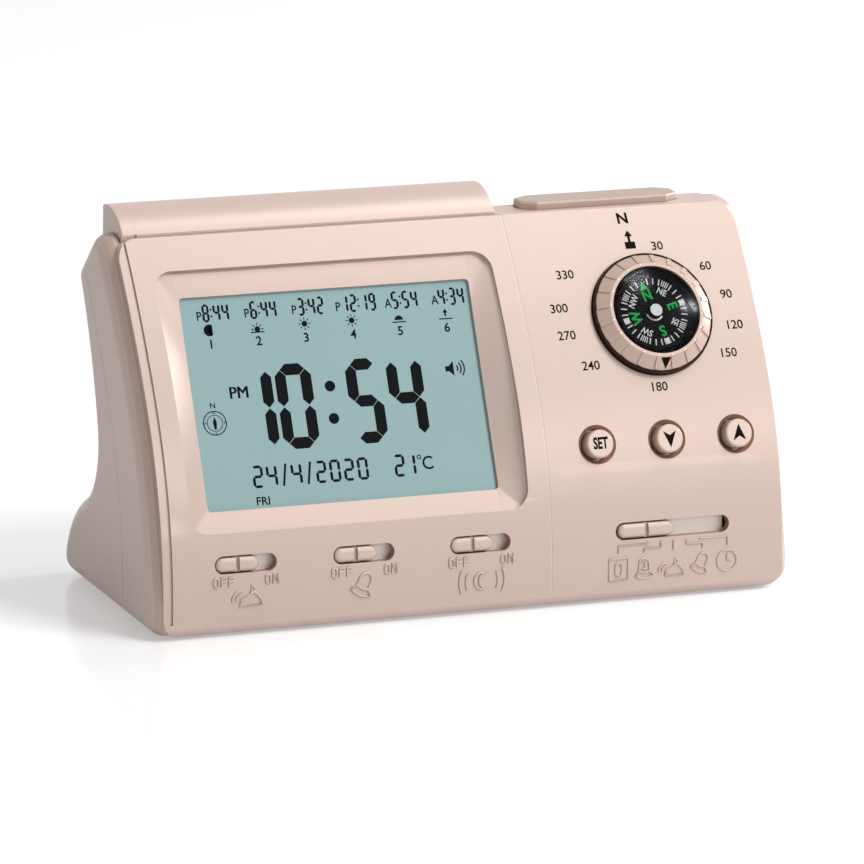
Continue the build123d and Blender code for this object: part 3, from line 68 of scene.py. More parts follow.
# a fine line is its x, half its width, its depth in the solid and the depth that is left of it
PANEL_LINE = (17.9, 0.2, 0.4, 0.07)
BAR_LINE = (-69.7, 0.35, 0.35, 0.02)
LINES_REAR = 18.0  # both lines are cut in front of this y
SEAM_REAR = 10.0  # the one between the panels gets a pale painted light in front of this y
CREASE = (74.3, 76.4, 22.0)  # step beside the raised face: least and greatest x, greatest y; it gets a darker painted shade
SLOTS = ((-55.5, 14.65), (-27.45, 14.65), (0.6, 14.65), (47.7, 28.1))  # x and length
SLOT_HEIGHT = 15.9
SLOT_HALF = 2.2  # half of a slot's width and its rounding
SLOTS_SPAN = (12.0, 21.0)  # z between which the slots lie
PLATE_DEPTH = 2.3  # the cover plates lie deeper than this in the slots
GAP_DEPTH = 2.6  # the painted shade, a brown paint in slots and holes, ends above this
BUTTONS = (30.55, 47.7, 64.85)
BUTTON_HEIGHT = 35.4
BUTTON_TOP = 2.0
RELIEF_LIFT = 0.12  # raised signs have their middle this far above the face
COUNTERSINK = 4.5


def tilted_plane(x, y, z, lean):
    """Matrix of a plane that leans back by lean degrees: X right, Y up it, Z outwards. In metres."""
    c, s = math.cos(math.radians(lean)), math.sin(math.radians(lean))
    return Matrix(((1, 0, 0, x * MM), (0, s, -c, y * MM), (0, c, s, z * MM), (0, 0, 0, 1)))


def face_plane(x, height):
    """Plane on the leaning face, at x and a height above the underside, in millimetres."""
    z = UNDERSIDE + height
    for cy, cz, radius in (FACE_LOWER, FACE_UPPER):
        lean = math.degrees(math.asin((z - cz) / radius))
        if lean <= FACE_BREAK:
            break
    return tilted_plane(x, cy - radius * math.cos(math.radians(lean)), z, lean)


WINDOW = tilted_plane(-27.7, -13.777098, 49.1, 26.0)
GLASS_FRONT = -0.8
WINDOW_SIZE = (69.6, 48.7)
COMPASS = face_plane(49.0, 61.2)
CARD_TOP = 1.8
CARD_TURN = 14.0
TICKS_START = 6.6  # radii between which the card's ticks lie
TICKS_END = 8.1
HUB_TOP = 3.1
DOME = ((4.1, 89.57), (3.55, 69.02))  # outside and inside: height of the crown, radius of the ball
BEZEL_TOP = 3.4
BEZEL_SLOPE = (11.3, 13.9, 1.3)  # inner and outer radius and lower height of the sloping side
BEZEL_EDGE = (13.75, 1.32)  # least radius and greatest height of the upright outer wall, which gets a near black painted shade
RECESS = (10.0, 14.8)  # inner and outer radius of the hole for the compass

CAMERA_PLACE = (-0.563539, -1.367702, 0.418841)
CAMERA_AXES = (  # right, up and ahead
    (0.926596, -0.375251, 0.024629), (0.072232, 0.241868, 0.967617), (0.369056, 0.894811, -0.251219))
CAMERA_LENS = 280.14
DOME_AIM = (0.049, -0.012, 0.062)


# ---- shader maths ----
class Sock:
    """A shader value that can be used in Python expressions."""

    def __init__(self, tree, out):
        self.tree = tree
        self.out = out

    def maths(self, operation, a, b):
        node = self.tree.nodes.new("ShaderNodeMath")
        node.operation = operation
        fill(node.inputs[0], a)
        fill(node.inputs[1], b)
        return Sock(self.tree, node.outputs[0])

    def __add__(self, other):
        return self.maths("ADD", self, other)

    def __sub__(self, other):
        return self.maths("SUBTRACT", self, other)

    def __rsub__(self, other):
        return self.maths("SUBTRACT", other, self)

    def __mul__(self, other):
        return self.maths("MULTIPLY", self, other)

    __radd__ = __add__
    __rmul__ = __mul__


def fill(slot, value):
    """Link a shader value to a socket, or set a constant on it."""
    if isinstance(value, Sock):
        value.tree.links.new(value.out, slot)
    else:
        slot.default_value = value


class Nodes:
    """A node tree with a short way to add nodes."""

    def __init__(self, tree):
        self.tree = tree

    def node(self, kind, settings=None, output=0, **values):
        """Add a node, set its settings first and then its sockets, and return one of its outputs."""
        node = self.tree.nodes.new(kind)
        for key, value in (settings or {}).items():
            setattr(node, key, value)
        for key, value in values.items():
            numbered = key[0] == "i" and key[1:].isdigit()
            fill(node.inputs[int(key[1:])] if numbered else node.inputs[key], value)
        return Sock(self.tree, node.outputs[output]) if node.outputs else None

    def seen(self):
        """1 for the rays that show the background: straight, mirrored or through glass."""
        straight, mirrored, through = (self.node("ShaderNodeLightPath", output=ray) for ray in (0, 3, 6))
        return straight + mirrored + through


class Recipe(Nodes):
    """Node tree of one material."""

    def __init__(self, name):
        self.material = bpy.data.materials.new(name)
        self.material.use_nodes = True
        super().__init__(self.material.node_tree)
        self.shader = self.tree.nodes["Principled BSDF"]

    def set(self, **values):
        """Set or link sockets of the surface shader. Underscores stand for spaces."""
        for key, value in values.items():
            fill(self.shader.inputs[key.replace("_", " ")], value)

    def place(self):
        return self.node("ShaderNodeTexCoord", output=3)

    def noise(self, scale, detail=2.0, roughness=0.5):
        return self.node("ShaderNodeTexNoise", Vector=self.place(), Scale=scale, Detail=detail,
                         Roughness=roughness)

    def blend(self, amount, first, second):
        """Colour between two colours."""
        return self.node("ShaderNodeMix", {"data_type": "RGBA"}, output=2, i0=amount, i6=first, i7=second)

    def bump(self, height, distance, strength):
        """Make the surface slightly uneven."""
        self.set(Normal=self.node("ShaderNodeBump", Height=height, Distance=distance, Strength=strength))


def rgb(colour, factor=1.0):
    return (*(min(1.0, c * factor) for c in colour[:3]), 1.0)


def satin_paint(name, colour):
    """Satin paint with metal flakes, on moulded plastic."""
    recipe = Recipe(name)
    flakes = recipe.noise(9000.0, 1.0)
    cloud = recipe.noise(45.0, 3.0)
    tone = recipe.blend(flakes * 0.6 + cloud * 0.2 - 0.1, rgb(colour, 0.9), rgb(colour, 1.1))
    recipe.set(Base_Color=tone, Metallic=0.28, Roughness=0.34 + flakes * 0.1)
    recipe.bump(flakes, 0.00002, 0.6)
    return recipe.material


def moulded_plastic(name, colour, roughness, grain=0.00003, gloss=0.5):
    """Plain moulded plastic with a faint texture."""
    recipe = Recipe(name)
    fine = recipe.noise(3500.0, 2.0)
    recipe.set(Base_Color=recipe.blend(fine, rgb(colour, 0.94), rgb(colour, 1.06)),
               Roughness=roughness + fine * 0.12, Specular_IOR_Level=gloss)
    recipe.bump(fine, grain, 0.5)
    return recipe.material


def plain_metal(name, colour, roughness):
    """Bare or plated metal with fine streaks."""
    recipe = Recipe(name)
    streaks = recipe.noise(1400.0, 4.0, 0.7)
    recipe.set(Base_Color=recipe.blend(streaks, rgb(colour, 0.9), rgb(colour, 1.08)), Metallic=1.0,
               Roughness=roughness + streaks * 0.15)
    return recipe.material


def board_laminate(name, colour):
    """Green solder mask over a faint copper pattern."""
    recipe = Recipe(name)
    cells = recipe.node("ShaderNodeTexBrick", {"offset": 0.5}, output=1, Vector=recipe.place(), Scale=160.0)
    pattern = cells * 0.5 + recipe.noise(900.0) * 0.3
    recipe.set(Base_Color=recipe.blend(pattern, rgb(colour), rgb(colour, 1.6)), Roughness=0.35)
    return recipe.material


def soft_rubber(name, colour):
    """Matt rubber."""
    recipe = Recipe(name)
    dust = recipe.noise(1800.0, 3.0)
    recipe.set(Base_Color=recipe.blend(dust, rgb(colour), rgb(colour, 1.8)), Roughness=0.75 + dust * 0.2)
    recipe.bump(dust, 0.00005, 0.4)
    return recipe.material


def clear_dome(name):
    """Clear polished plastic, thin enough to see straight through."""
    recipe = Recipe(name)
    smears = recipe.noise(60.0, 2.0)
    recipe.set(Base_Color=recipe.blend(smears, (0.045, 0.045, 0.05, 1.0), (0.055, 0.055, 0.06, 1.0)),
               Metallic=1.0, Roughness=0.085 + smears * 0.02, Alpha=0.12)
    return recipe.material


def display_glass(name, colour):
    """Grey-green display glass with a satin polarizer, a little uneven."""
    recipe = Recipe(name)
    cloud = recipe.noise(30.0, 2.0)
    fine = recipe.noise(5000.0, 1.0)
    recipe.set(Base_Color=recipe.blend(cloud, rgb(colour, 0.97), rgb(colour, 1.03)),
               Roughness=0.32 + fine * 0.06, Specular_IOR_Level=0.2)
    return recipe.material


def print_ink(name, colour, roughness=0.5):
    """Pad-printed ink, slightly thin in places."""
    recipe = Recipe(name)
    speck = recipe.noise(4000.0, 2.0)
    recipe.set(Base_Color=recipe.blend(speck * 0.6, rgb(colour), rgb(colour, 1.25)), Roughness=roughness,
               Specular_IOR_Level=0.05)
    return recipe.material


def speaker_paper(name, colour):
    """Pressed paper cone."""
    recipe = Recipe(name)
    fibre = recipe.noise(1200.0, 5.0, 0.7)
    recipe.set(Base_Color=recipe.blend(fibre, rgb(colour, 0.6), rgb(colour, 1.9)), Roughness=0.85)
    recipe.bump(fibre, 0.0001, 0.5)
    return recipe.material


# ---- mesh helpers ----
def deselect():
    """Leave no object selected."""
    for item in bpy.context.selected_objects:
        item.select_set(False)


def active(item):
    """Select one object alone and make it active."""
    deselect()
    item.select_set(True)
    bpy.context.view_layer.objects.active = item


def edit():
    """Open the active mesh with all of it selected."""
    bpy.ops.object.mode_set(mode="EDIT")
    bpy.ops.mesh.select_all(action="SELECT")


def join(items, name):
    """One mesh object out of several."""
    deselect()
    for item in items:
        item.select_set(True)
    bpy.context.view_layer.objects.active = items[0]
    if len(items) > 1:
        bpy.ops.object.join()
    items[0].name = name
    items[0].data.name = name
    return items[0]


def shift(item, x, y):
    """Move a flat mark on its plane, in millimetres."""
    item.location = (x * MM, y * MM, 0.0)
    bpy.ops.object.transform_apply()
    return item


def finish(item, material, body):
    """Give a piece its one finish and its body."""
    item.data.materials.clear()
    item.data.materials.append(material)
    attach(item, body)


def lay(marks, name, plane, height, material, body):
    """Join flat marks to one piece on a plane, height metres above it, with its object at the origin."""
    piece = join(marks, name)
    active(piece)
    bpy.ops.object.transform_apply()
    piece.data.transform(plane @ Matrix.Translation((0, 0, height)))
    piece.data.update()
    finish(piece, material, body)


def below(arc, depth):
    """Arc that runs depth millimetres inside another."""
    return arc[0], arc[1], arc[2] - depth


ROUNDS = (
    FACE_LOWER, FACE_UPPER, below(FACE_LOWER, FACE_STEP), below(FACE_UPPER, FACE_STEP),
    below(FACE_UPPER, SURROUND_STEP), below(FACE_LOWER, SURROUND_STEP), *REAR_ARCS, BAR_ARC,
)


def follow(normals, loop, face, out, radius, near):
    """Shade a face corner by a round surface, if the corner lies on it and the face follows it."""
    if abs(out.length - radius * MM) < near:
        side = out.normalized().dot(face.normal)
        if abs(side) > 0.95:
            normals[loop] = out.normalized() * (1 if side > 0 else -1)


def true_normals(item):
    """Shade the parts of a mesh that lie on the case's large curves by those curves."""
    mesh = item.data
    normals = [corner.vector.copy() for corner in mesh.corner_normals]
    for face in mesh.polygons:
        if abs(face.normal.x) > 0.2:
            continue
        for loop in face.loop_indices:
            place = mesh.vertices[mesh.loops[loop].vertex_index].co
            for cy, cz, radius in ROUNDS:
                out = Vector((0.0, place.y - cy * MM, place.z - cz * MM))
                follow(normals, loop, face, out, radius, 0.00002)
    mesh.normals_split_custom_set(normals)


def dome_normals(item):
    """Shade the dome by the two balls that its outside and its inside are parts of."""
    mesh = item.data
    normals = [corner.vector.copy() for corner in mesh.corner_normals]
    for crown, radius in DOME:
        middle = COMPASS @ Vector((0.0, 0.0, (crown - radius) * MM))
        for face in mesh.polygons:
            for loop in face.loop_indices:
                out = mesh.vertices[mesh.loops[loop].vertex_index].co - middle
                follow(normals, loop, face, out, radius, 0.00003)
    mesh.normals_split_custom_set(normals)


def merged_copy(node, name, angle=32.0):
    """Smooth copy of a CAD node, with its corners joined, that stands for the node."""
    source = frame["nodes"][node]
    copy = source.copy()
    copy.data = source.data.copy()
    copy.name = name
    copy.data.name = name
    bpy.context.collection.objects.link(copy)
    copy.parent = None
    active(copy)
    edit()
    bpy.ops.mesh.customdata_custom_splitnormals_clear()
    bpy.ops.mesh.remove_doubles(threshold=0.000002)
    bpy.ops.object.mode_set(mode="OBJECT")
    bpy.ops.object.shade_smooth_by_angle(angle=math.radians(angle))
    bpy.ops.object.modifier_add(type="WEIGHTED_NORMAL")
    copy.modifiers[-1].keep_sharp = True
    bpy.ops.object.modifier_apply(modifier=copy.modifiers[-1].name)
    true_normals(copy)
    return copy


def colour_faces(item, material, chosen):
    """Give the faces that chosen(centre in mm, normal) accepts another finish."""
    item.data.materials.append(material)
    place = len(item.data.materials) - 1
    for face in item.data.polygons:
        if chosen(face.center / MM, face.normal):
            face.material_index = place


def local(plane, centre):
    """Place of a point in millimetres on a plane: right, up and out of it."""
    return plane.inverted() @ (centre * MM) / MM


def reach(plane, centre):
    """Distance from a plane's axis and height above the plane, in millimetres."""
    place = local(plane, centre)
    return math.hypot(place.x, place.y), place.z


def in_shaded_gap(centre, normal):
    """Walls of the slots, of the countersunk button holes and of the compass recess, which get a brown
    painted shade.
    """
    low, high = SLOTS_SPAN
    for x, length in SLOTS:
        if abs(centre.x - x) < length / 2 + 0.2 and low < centre.z < high:
            place = local(face_plane(x, SLOT_HEIGHT), centre)
            return abs(place.y) < SLOT_HALF and -GAP_DEPTH < place.z < -0.1
    for x in BUTTONS:
        radius, height = reach(face_plane(x, BUTTON_HEIGHT), centre)
        upright = abs(normal.x) + abs(normal.z) > 0.38
        if radius < COUNTERSINK and -GAP_DEPTH < height < 0.4 and upright:
            return True
    radius, height = reach(COMPASS, centre)
    return RECESS[0] < radius < RECESS[1] and -GAP_DEPTH < height < -0.05


def on_plate(centre, normal):
    """Cover plate behind a slot, which gets a pale copy of the paint as painted light."""
    return local(face_plane(centre.x, SLOT_HEIGHT), centre).z < -PLATE_DEPTH


def on_shaded_bezel_edge(centre, normal):
    """Upright outer wall of the bezel, which gets a near black painted shade."""
    radius, height = reach(COMPASS, centre)
    return radius > BEZEL_EDGE[0] and height < BEZEL_EDGE[1]


def in_shaded_crease(centre, normal):
    """Step at the sides of the raised face, which gets a darker painted shade."""
    inner, outer, rear = CREASE
    outwards = normal.x * centre.x > 0 and abs(normal.x) > 0.3
    return inner < abs(centre.x) < outer and centre.y < rear and outwards


def in_seam(centre, normal):
    """The thin line between the two panels of the face, which gets a lighter paint as painted light against
    the shade in its groove.
    """
    x, half = PANEL_LINE[:2]
    return abs(centre.x - x) < half and centre.y < SEAM_REAR and abs(normal.x) < 0.9


def face_round(z):
    """Curve of the leaning face at a height z in millimetres."""
    cy, cz, radius = FACE_LOWER
    return FACE_LOWER if z < cz + radius * math.sin(math.radians(FACE_BREAK)) else FACE_UPPER


def bar_round(z):
    """Curve of the bar's front, the same at every height."""
    return BAR_ARC


def fill_line(item, x, half, depth, rest, curve_at):
    """Raise the floor of a line cut across large curves at x until it is just below them."""
    for vertex in item.data.vertices:
        place = vertex.co / MM
        if abs(place.x - x) < half and place.y < LINES_REAR:
            cy, cz, radius = curve_at(place.z)
            out = Vector((0.0, place.y - cy, place.z - cz))
            if abs(radius - depth - out.length) < 0.15:
                out *= (radius - rest) / out.length
                vertex.co = Vector((place.x, cy + out.y, cz + out.z)) * MM
    item.data.update()


FONT_SIZE = 1.38  # size of the font for capitals of height 1


def words(text, x, y, height, stretch=1.0, turn=0.0, bold=0.0):
    """Flat word in millimetres, centred at (x, y) on its plane."""
    bpy.ops.object.text_add(location=(0, 0, 0))
    item = bpy.context.object
    item.data.body = text
    item.data.align_x = item.data.align_y = "CENTER"
    item.data.size = height * FONT_SIZE * MM
    item.data.offset = bold * MM
    item.data.resolution_u = 4
    bpy.ops.object.convert(target="MESH")
    item = bpy.context.object
    item.scale = (stretch, 1.0, 1.0)
    item.rotation_euler = (0.0, 0.0, math.radians(turn))
    bpy.ops.object.transform_apply()
    return shift(item, x, y)


def shape(points, x=0.0, y=0.0):
    """Flat filled outline through points in millimetres."""
    bpy.ops.mesh.primitive_circle_add(vertices=len(points), fill_type="NGON", location=(0, 0, 0))
    item = bpy.context.object
    for vertex, (px, py) in zip(item.data.vertices, points):
        vertex.co = ((x + px) * MM, (y + py) * MM, 0.0)
    item.data.update()
    return item


def segment(x, y, length, width, upright):
    """One bar of a digit, pointed at both ends: a plane with its corners cut."""
    bpy.ops.mesh.primitive_plane_add(size=1.0, location=(0, 0, 0))
    item = bpy.context.object
    item.scale = (length * MM, width * MM, 1.0)
    if upright:
        item.rotation_euler = (0.0, 0.0, math.pi / 2)
    bpy.ops.object.transform_apply()
    edit()
    bpy.ops.mesh.bevel(offset=width * 0.49 * math.sqrt(2) * MM, affect="VERTICES", clamp_overlap=True)
    bpy.ops.object.mode_set(mode="OBJECT")
    return shift(item, x, y)


SEGMENTS = {
    "0": "abcdef", "1": "bc", "2": "abdeg", "3": "abcdg", "4": "bcfg", "5": "acdfg", "6": "acdefg",
    "7": "abc", "8": "abcdefg", "9": "abcdfg",
}


def digit(sign, x, y, width, height, stroke, gap):
    """Seven-segment digit, centred at (x, y), as a list of bars."""
    half_w, half_h = (width - stroke) / 2, (height - stroke) / 2
    places = {
        "a": (0, half_h, False), "g": (0, 0, False), "d": (0, -half_h, False),
        "f": (-half_w, half_h / 2, True), "b": (half_w, half_h / 2, True),
        "e": (-half_w, -half_h / 2, True), "c": (half_w, -half_h / 2, True),
    }
    bars = []
    for name in SEGMENTS[sign]:
        dx, dy, upright = places[name]
        length = half_h - gap + stroke * 0.1 if upright else 2 * half_w - gap + stroke * 0.1
        bars.append(segment(x + dx, y + dy, length, stroke, upright))
    return bars


def dot(x, y, radius, vertices=16):
    """Flat filled disc."""
    bpy.ops.mesh.primitive_circle_add(vertices=vertices, radius=radius * MM, fill_type="NGON",
                                      location=(0, 0, 0))
    return shift(bpy.context.object, x, y)


def ring(x, y, radius, width, vertices=32):
    """Flat ring: a disc with its middle inset and taken away."""
    item = dot(0.0, 0.0, radius, vertices)
    edit()
    bpy.ops.mesh.inset(thickness=width * MM)
    bpy.ops.mesh.delete(type="FACE")
    bpy.ops.object.mode_set(mode="OBJECT")
    return shift(item, x, y)


def stroke_line(points, width, closed):
    """Raised line of a symbol, drawn through points in millimetres, as a narrow ridge."""
    bpy.ops.object.add(type="CURVE", location=(0, 0, 0))
    item = bpy.context.object
    line = item.data.splines.new("POLY")
    line.points.add(len(points) - 1)
    for knot, (px, py) in zip(line.points, points):
        knot.co = (px * MM, py * MM, 0.0, 1.0)
    line.use_cyclic_u = closed
    item.data.dimensions = "3D"
    item.data.bevel_mode = "ROUND"
    item.data.bevel_depth = width / 2 * MM
    item.data.bevel_resolution = 0
    active(item)
    bpy.ops.object.convert(target="MESH")
    return bpy.context.object


def arc_points(x, y, radius, start, end, count=12):
    """Points of an arc in millimetres, angles in degrees from +X."""
    turns = [math.radians(start + i * (end - start) / (count - 1)) for i in range(count)]
    return [(x + radius * math.cos(turn), y + radius * math.sin(turn)) for turn in turns]


# ---- sizes and colours ----
class ClockPaint(bpy.types.PropertyGroup):
    """Colours of the clock's finishes."""

    case: bpy.props.FloatVectorProperty(
        name="Case paint", description="Satin paint of the case", subtype="COLOR",
        default=(0.64, 0.495, 0.435), min=0.0, max=1.0)
    controls: bpy.props.FloatVectorProperty(
        name="Control paint", subtype="COLOR", min=0.0, max=1.0,
        description="Paint of buttons, bar and knobs", default=(0.66, 0.505, 0.44))
    # painted shade: a darker copy of the control paint, for the shade on this button's upturned top
    top: bpy.props.FloatVectorProperty(
        name="Light button paint", description="Paint of the long button on top", subtype="COLOR",
        default=(0.50, 0.37, 0.31), min=0.0, max=1.0)
    # painted light: the plates are in the knobs' paint, and this paler copy stands for the light on them
    plate: bpy.props.FloatVectorProperty(
        name="Cover plates", description="Pale plates behind the slots", subtype="COLOR",
        default=(0.98, 0.87, 0.81), min=0.0, max=1.0)
    bezel: bpy.props.FloatVectorProperty(
        name="Bezel paint", description="Paint of the turning ring", subtype="COLOR",
        default=(0.60, 0.44, 0.37), min=0.0, max=1.0)
    # painted shade: a dark brown for the walls of slots, button holes and the compass recess, where shade
    # falls
    gap: bpy.props.FloatVectorProperty(
        name="Gap paint", description="Thin brown paint inside slots and holes", subtype="COLOR",
        default=(0.36, 0.19, 0.135), min=0.0, max=1.0)
    # painted shade: a darker copy of the case paint for the step beside the raised face
    crease: bpy.props.FloatVectorProperty(
        name="Crease paint", subtype="COLOR", min=0.0, max=1.0,
        description="Paint on the step beside the raised face", default=(0.57, 0.42, 0.36))
    glass: bpy.props.FloatVectorProperty(
        name="Display", description="Ground of the display", subtype="COLOR", default=(0.30, 0.44, 0.445),
        min=0.0, max=1.0)
    segments: bpy.props.FloatVectorProperty(
        name="Segments", description="Dark parts of the display", subtype="COLOR",
        default=(0.004, 0.005, 0.006), min=0.0, max=1.0)
    ink: bpy.props.FloatVectorProperty(
        name="Ink", description="Printed marks on the face", subtype="COLOR", default=(0.004, 0.003, 0.003),
        min=0.0, max=1.0)


class DisplayLayout(bpy.types.PropertyGroup):
    """Sizes on the display."""

    clock_digit_height: bpy.props.FloatProperty(
        name="Clock digits", description="Height of the large digits", default=19.4 * MM, unit="LENGTH",
        subtype="DISTANCE")
    small_digit_height: bpy.props.FloatProperty(
        name="Small digits", description="Height of the six small times", default=4.1 * MM, unit="LENGTH",
        subtype="DISTANCE")
    lift: bpy.props.FloatProperty(
        name="Lift", description="How far the marks stand off the glass", default=0.03 * MM, unit="LENGTH",
        subtype="DISTANCE")


class StageLook(bpy.types.PropertyGroup):
    """Light and floor."""

    floor_tone: bpy.props.FloatProperty(
        name="Floor tone", description="Lightness of the floor", default=0.74, min=0.0, max=1.0)
    floor_glow: bpy.props.FloatProperty(
        name="Floor white", description="White added to the floor in the picture", default=0.34, min=0.0,
        max=1.0)
    room_light: bpy.props.FloatProperty(
        name="Room", description="Strength of the light from all round", default=0.26, min=0.0, max=1.0)
    key_power: bpy.props.FloatProperty(
        name="Main light", description="Power of the soft light at the front right", default=10.8, min=0.0,
        subtype="POWER")
    top_power: bpy.props.FloatProperty(
        name="Top light", description="Power of the small soft light overhead", default=1.7, min=0.0,
        subtype="POWER")
    glint_power: bpy.props.FloatProperty(
        name="Glint", description="Power of the small light that the dome mirrors", default=0.45, min=0.0,
        subtype="POWER")
    front_power: bpy.props.FloatProperty(
        name="Front light", description="Power of the low light before the clock", default=1.6, min=0.0,
        subtype="POWER")
    side_power: bpy.props.FloatProperty(
        name="Side light", description="Power of the narrow light at the right", default=4.5, min=0.0,
        subtype="POWER")


# ---- the steps that build the picture ----
def area_light(name, place, target, size, power):
    """Soft rectangular light aimed at a point."""
    bpy.ops.object.light_add(type="AREA", location=place)
    lamp = bpy.context.object
    lamp.name = name
    lamp.data.shape = "RECTANGLE"
    lamp.data.size, lamp.data.size_y = size
    lamp.data.energy = power
    lamp.rotation_euler = (Vector(target) - Vector(place)).to_track_quat("-Z", "Y").to_euler()
    return lamp


class CLOCK_OT_stage(bpy.types.Operator):
    """Floor, lights, world and camera"""

    bl_idname = "clock.stage"
    bl_label = "Stage"

    def execute(self, context):
        scene = context.scene
        look = scene.clock_stage
        scene.view_settings.view_transform = "Standard"
        # camera, in front of the clock and a little to its left
        bpy.ops.object.camera_add(location=CAMERA_PLACE)
        camera = context.object
        right, up, ahead = (Vector(axis) for axis in CAMERA_AXES)
        turn = Matrix((right, up, -ahead)).transposed()
        camera.matrix_world = Matrix.Translation(CAMERA_PLACE) @ turn.to_4x4()
        camera.data.sensor_width = 36.0
        camera.data.lens = CAMERA_LENS
        camera.data.clip_start = 0.05
        camera.data.clip_end = 20.0
        scene.camera = camera
        # floor: white in the picture except where the clock shades it
        bpy.ops.mesh.primitive_plane_add(size=12.0, location=(0, 0, 0))
        floor = context.object
        floor.name = "floor"
        recipe = Recipe("floor_white")
        tone = (look.floor_tone,) * 3
        recipe.set(Base_Color=recipe.blend(recipe.noise(20.0, 2.0), rgb(tone), rgb(tone, 1.01)),
                   Roughness=0.2, Specular_IOR_Level=0.3)
        recipe.set(Emission_Color=recipe.blend(recipe.seen(), (0, 0, 0, 1), (1, 1, 1, 1)),
                   Emission_Strength=look.floor_glow)
        floor.data.materials.append(recipe.material)
        # world: even light all round, white where the camera and mirroring surfaces look past the floor
        world = bpy.data.worlds.new("studio")
        scene.world = world
        world.use_nodes = True
        room = Nodes(world.node_tree)
        room.tree.nodes.clear()
        light = room.node("ShaderNodeBackground", Color=(0.95, 0.97, 1.0, 1.0), Strength=look.room_light)
        white = room.node("ShaderNodeBackground", Color=(1.0, 1.0, 1.0, 1.0), Strength=1.0)
        mix = room.node("ShaderNodeMixShader", i0=room.seen(), i1=light, i2=white)
        room.node("ShaderNodeOutputWorld", Surface=mix)
        key = area_light("key", (0.62, -0.70, 1.06), (0, 0, 0.04), (0.5, 0.5), look.key_power)
        key.visible_glossy = False
        area_light("overhead", (0.40, -0.10, 1.02), (0, 0, 0.06), (0.30, 0.12), look.top_power)
        area_light("glint", (0.621, -0.500, 0.720), DOME_AIM, (0.018, 0.045), look.glint_power)
        area_light("sheen", (0.376, -0.472, 0.887), DOME_AIM, (0.12, 0.06), look.glint_power * 1.2)
        area_light("front", (0.48, -1.07, 0.54), (0, 0, 0.05), (0.34, 0.12), look.front_power)
        area_light("side", (0.914, 0.125, 0.29), (0.05, -0.01, 0.08), (0.12, 0.24), look.side_power)
        return {"FINISHED"}


class CLOCK_OT_case(bpy.types.Operator):
    """Painted shells, bar and light button"""

    bl_idname = "clock.case"
    bl_label = "Case"

    def execute(self, context):
        paint = context.scene.clock_paint
        case = satin_paint("case_satin_paint", paint.case)
        controls = satin_paint("control_satin_paint", paint.controls)
        # painted shade: the light button gets a darker copy of the control paint
        top = satin_paint("light_button_shaded_paint", paint.top)
        pieces = (
            ("front_shell", "front_case", "case", "shell_paint", case),
            ("rear_shell", "rear_case", "case", "shell_paint", case),
            ("battery_door", "door_cover", "door", "shell_paint", case),
            ("snooze_bar", "snooze_cover", "snooze", "button_paint", controls),
            ("light_button", "light_cover", "light", "button_paint", top),
        )
        for node, name, body, slot, finish_of in pieces:
            piece = merged_copy(node, name)
            finish(piece, finish_of, body)
            if node == "snooze_bar":
                fill_line(piece, *BAR_LINE, bar_round)
            if node == "front_shell":
                fill_line(piece, *PANEL_LINE, face_round)
                # painted shade on the walls of slots, button holes and the compass recess
                colour_faces(piece, satin_paint("gap_painted_shade", paint.gap), in_shaded_gap)
                # painted light: a lighter copy of the case paint in the seam's groove, against its shade
                colour_faces(piece, satin_paint("seam_painted_light", rgb(paint.case, 1.15)), in_seam)
                # painted shade in the step beside the raised face
                colour_faces(piece, satin_paint("crease_painted_shade", paint.crease), in_shaded_crease)
            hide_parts(node)
        return {"FINISHED"}


class CLOCK_OT_controls(bpy.types.Operator):
    """Push buttons, slide knobs and turning bezel"""

    bl_idname = "clock.controls"
    bl_label = "Controls"

    def execute(self, context):
        paint = context.scene.clock_paint
        controls = bpy.data.materials["control_satin_paint"]
        bezel = satin_paint("bezel_satin_paint", paint.bezel)
        # painted light on the cover plates: a paler copy of the knobs' paint
        plate = satin_paint("plate_painted_light", paint.plate)
        # painted shade: near black for the bezel's outer wall, which sits in the shade of the recess
        edge = moulded_plastic("bezel_edge_painted_shade", (0.02, 0.006, 0.005), 0.5, gloss=0.15)
        pieces = [(key + "_button", key + "_cap", key + "_key", "button_paint", controls)
                  for key in ("set", "down", "up")]
        pieces += [(key + "_switch_knob", key + "_knob", key + "_slider", "button_paint", controls)
                   for key in ("azan", "alarm", "snooze", "mode")]
        pieces.append(("bezel_ring", "turning_bezel", "bezel", "bezel_paint", bezel))
        for node, name, body, slot, finish_of in pieces:
            piece = merged_copy(node, name)
            finish(piece, finish_of, body)
            if slot == "bezel_paint":
                colour_faces(piece, edge, on_shaded_bezel_edge)
            elif node.endswith("switch_knob"):
                colour_faces(piece, plate, on_plate)
            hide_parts(node)
        return {"FINISHED"}


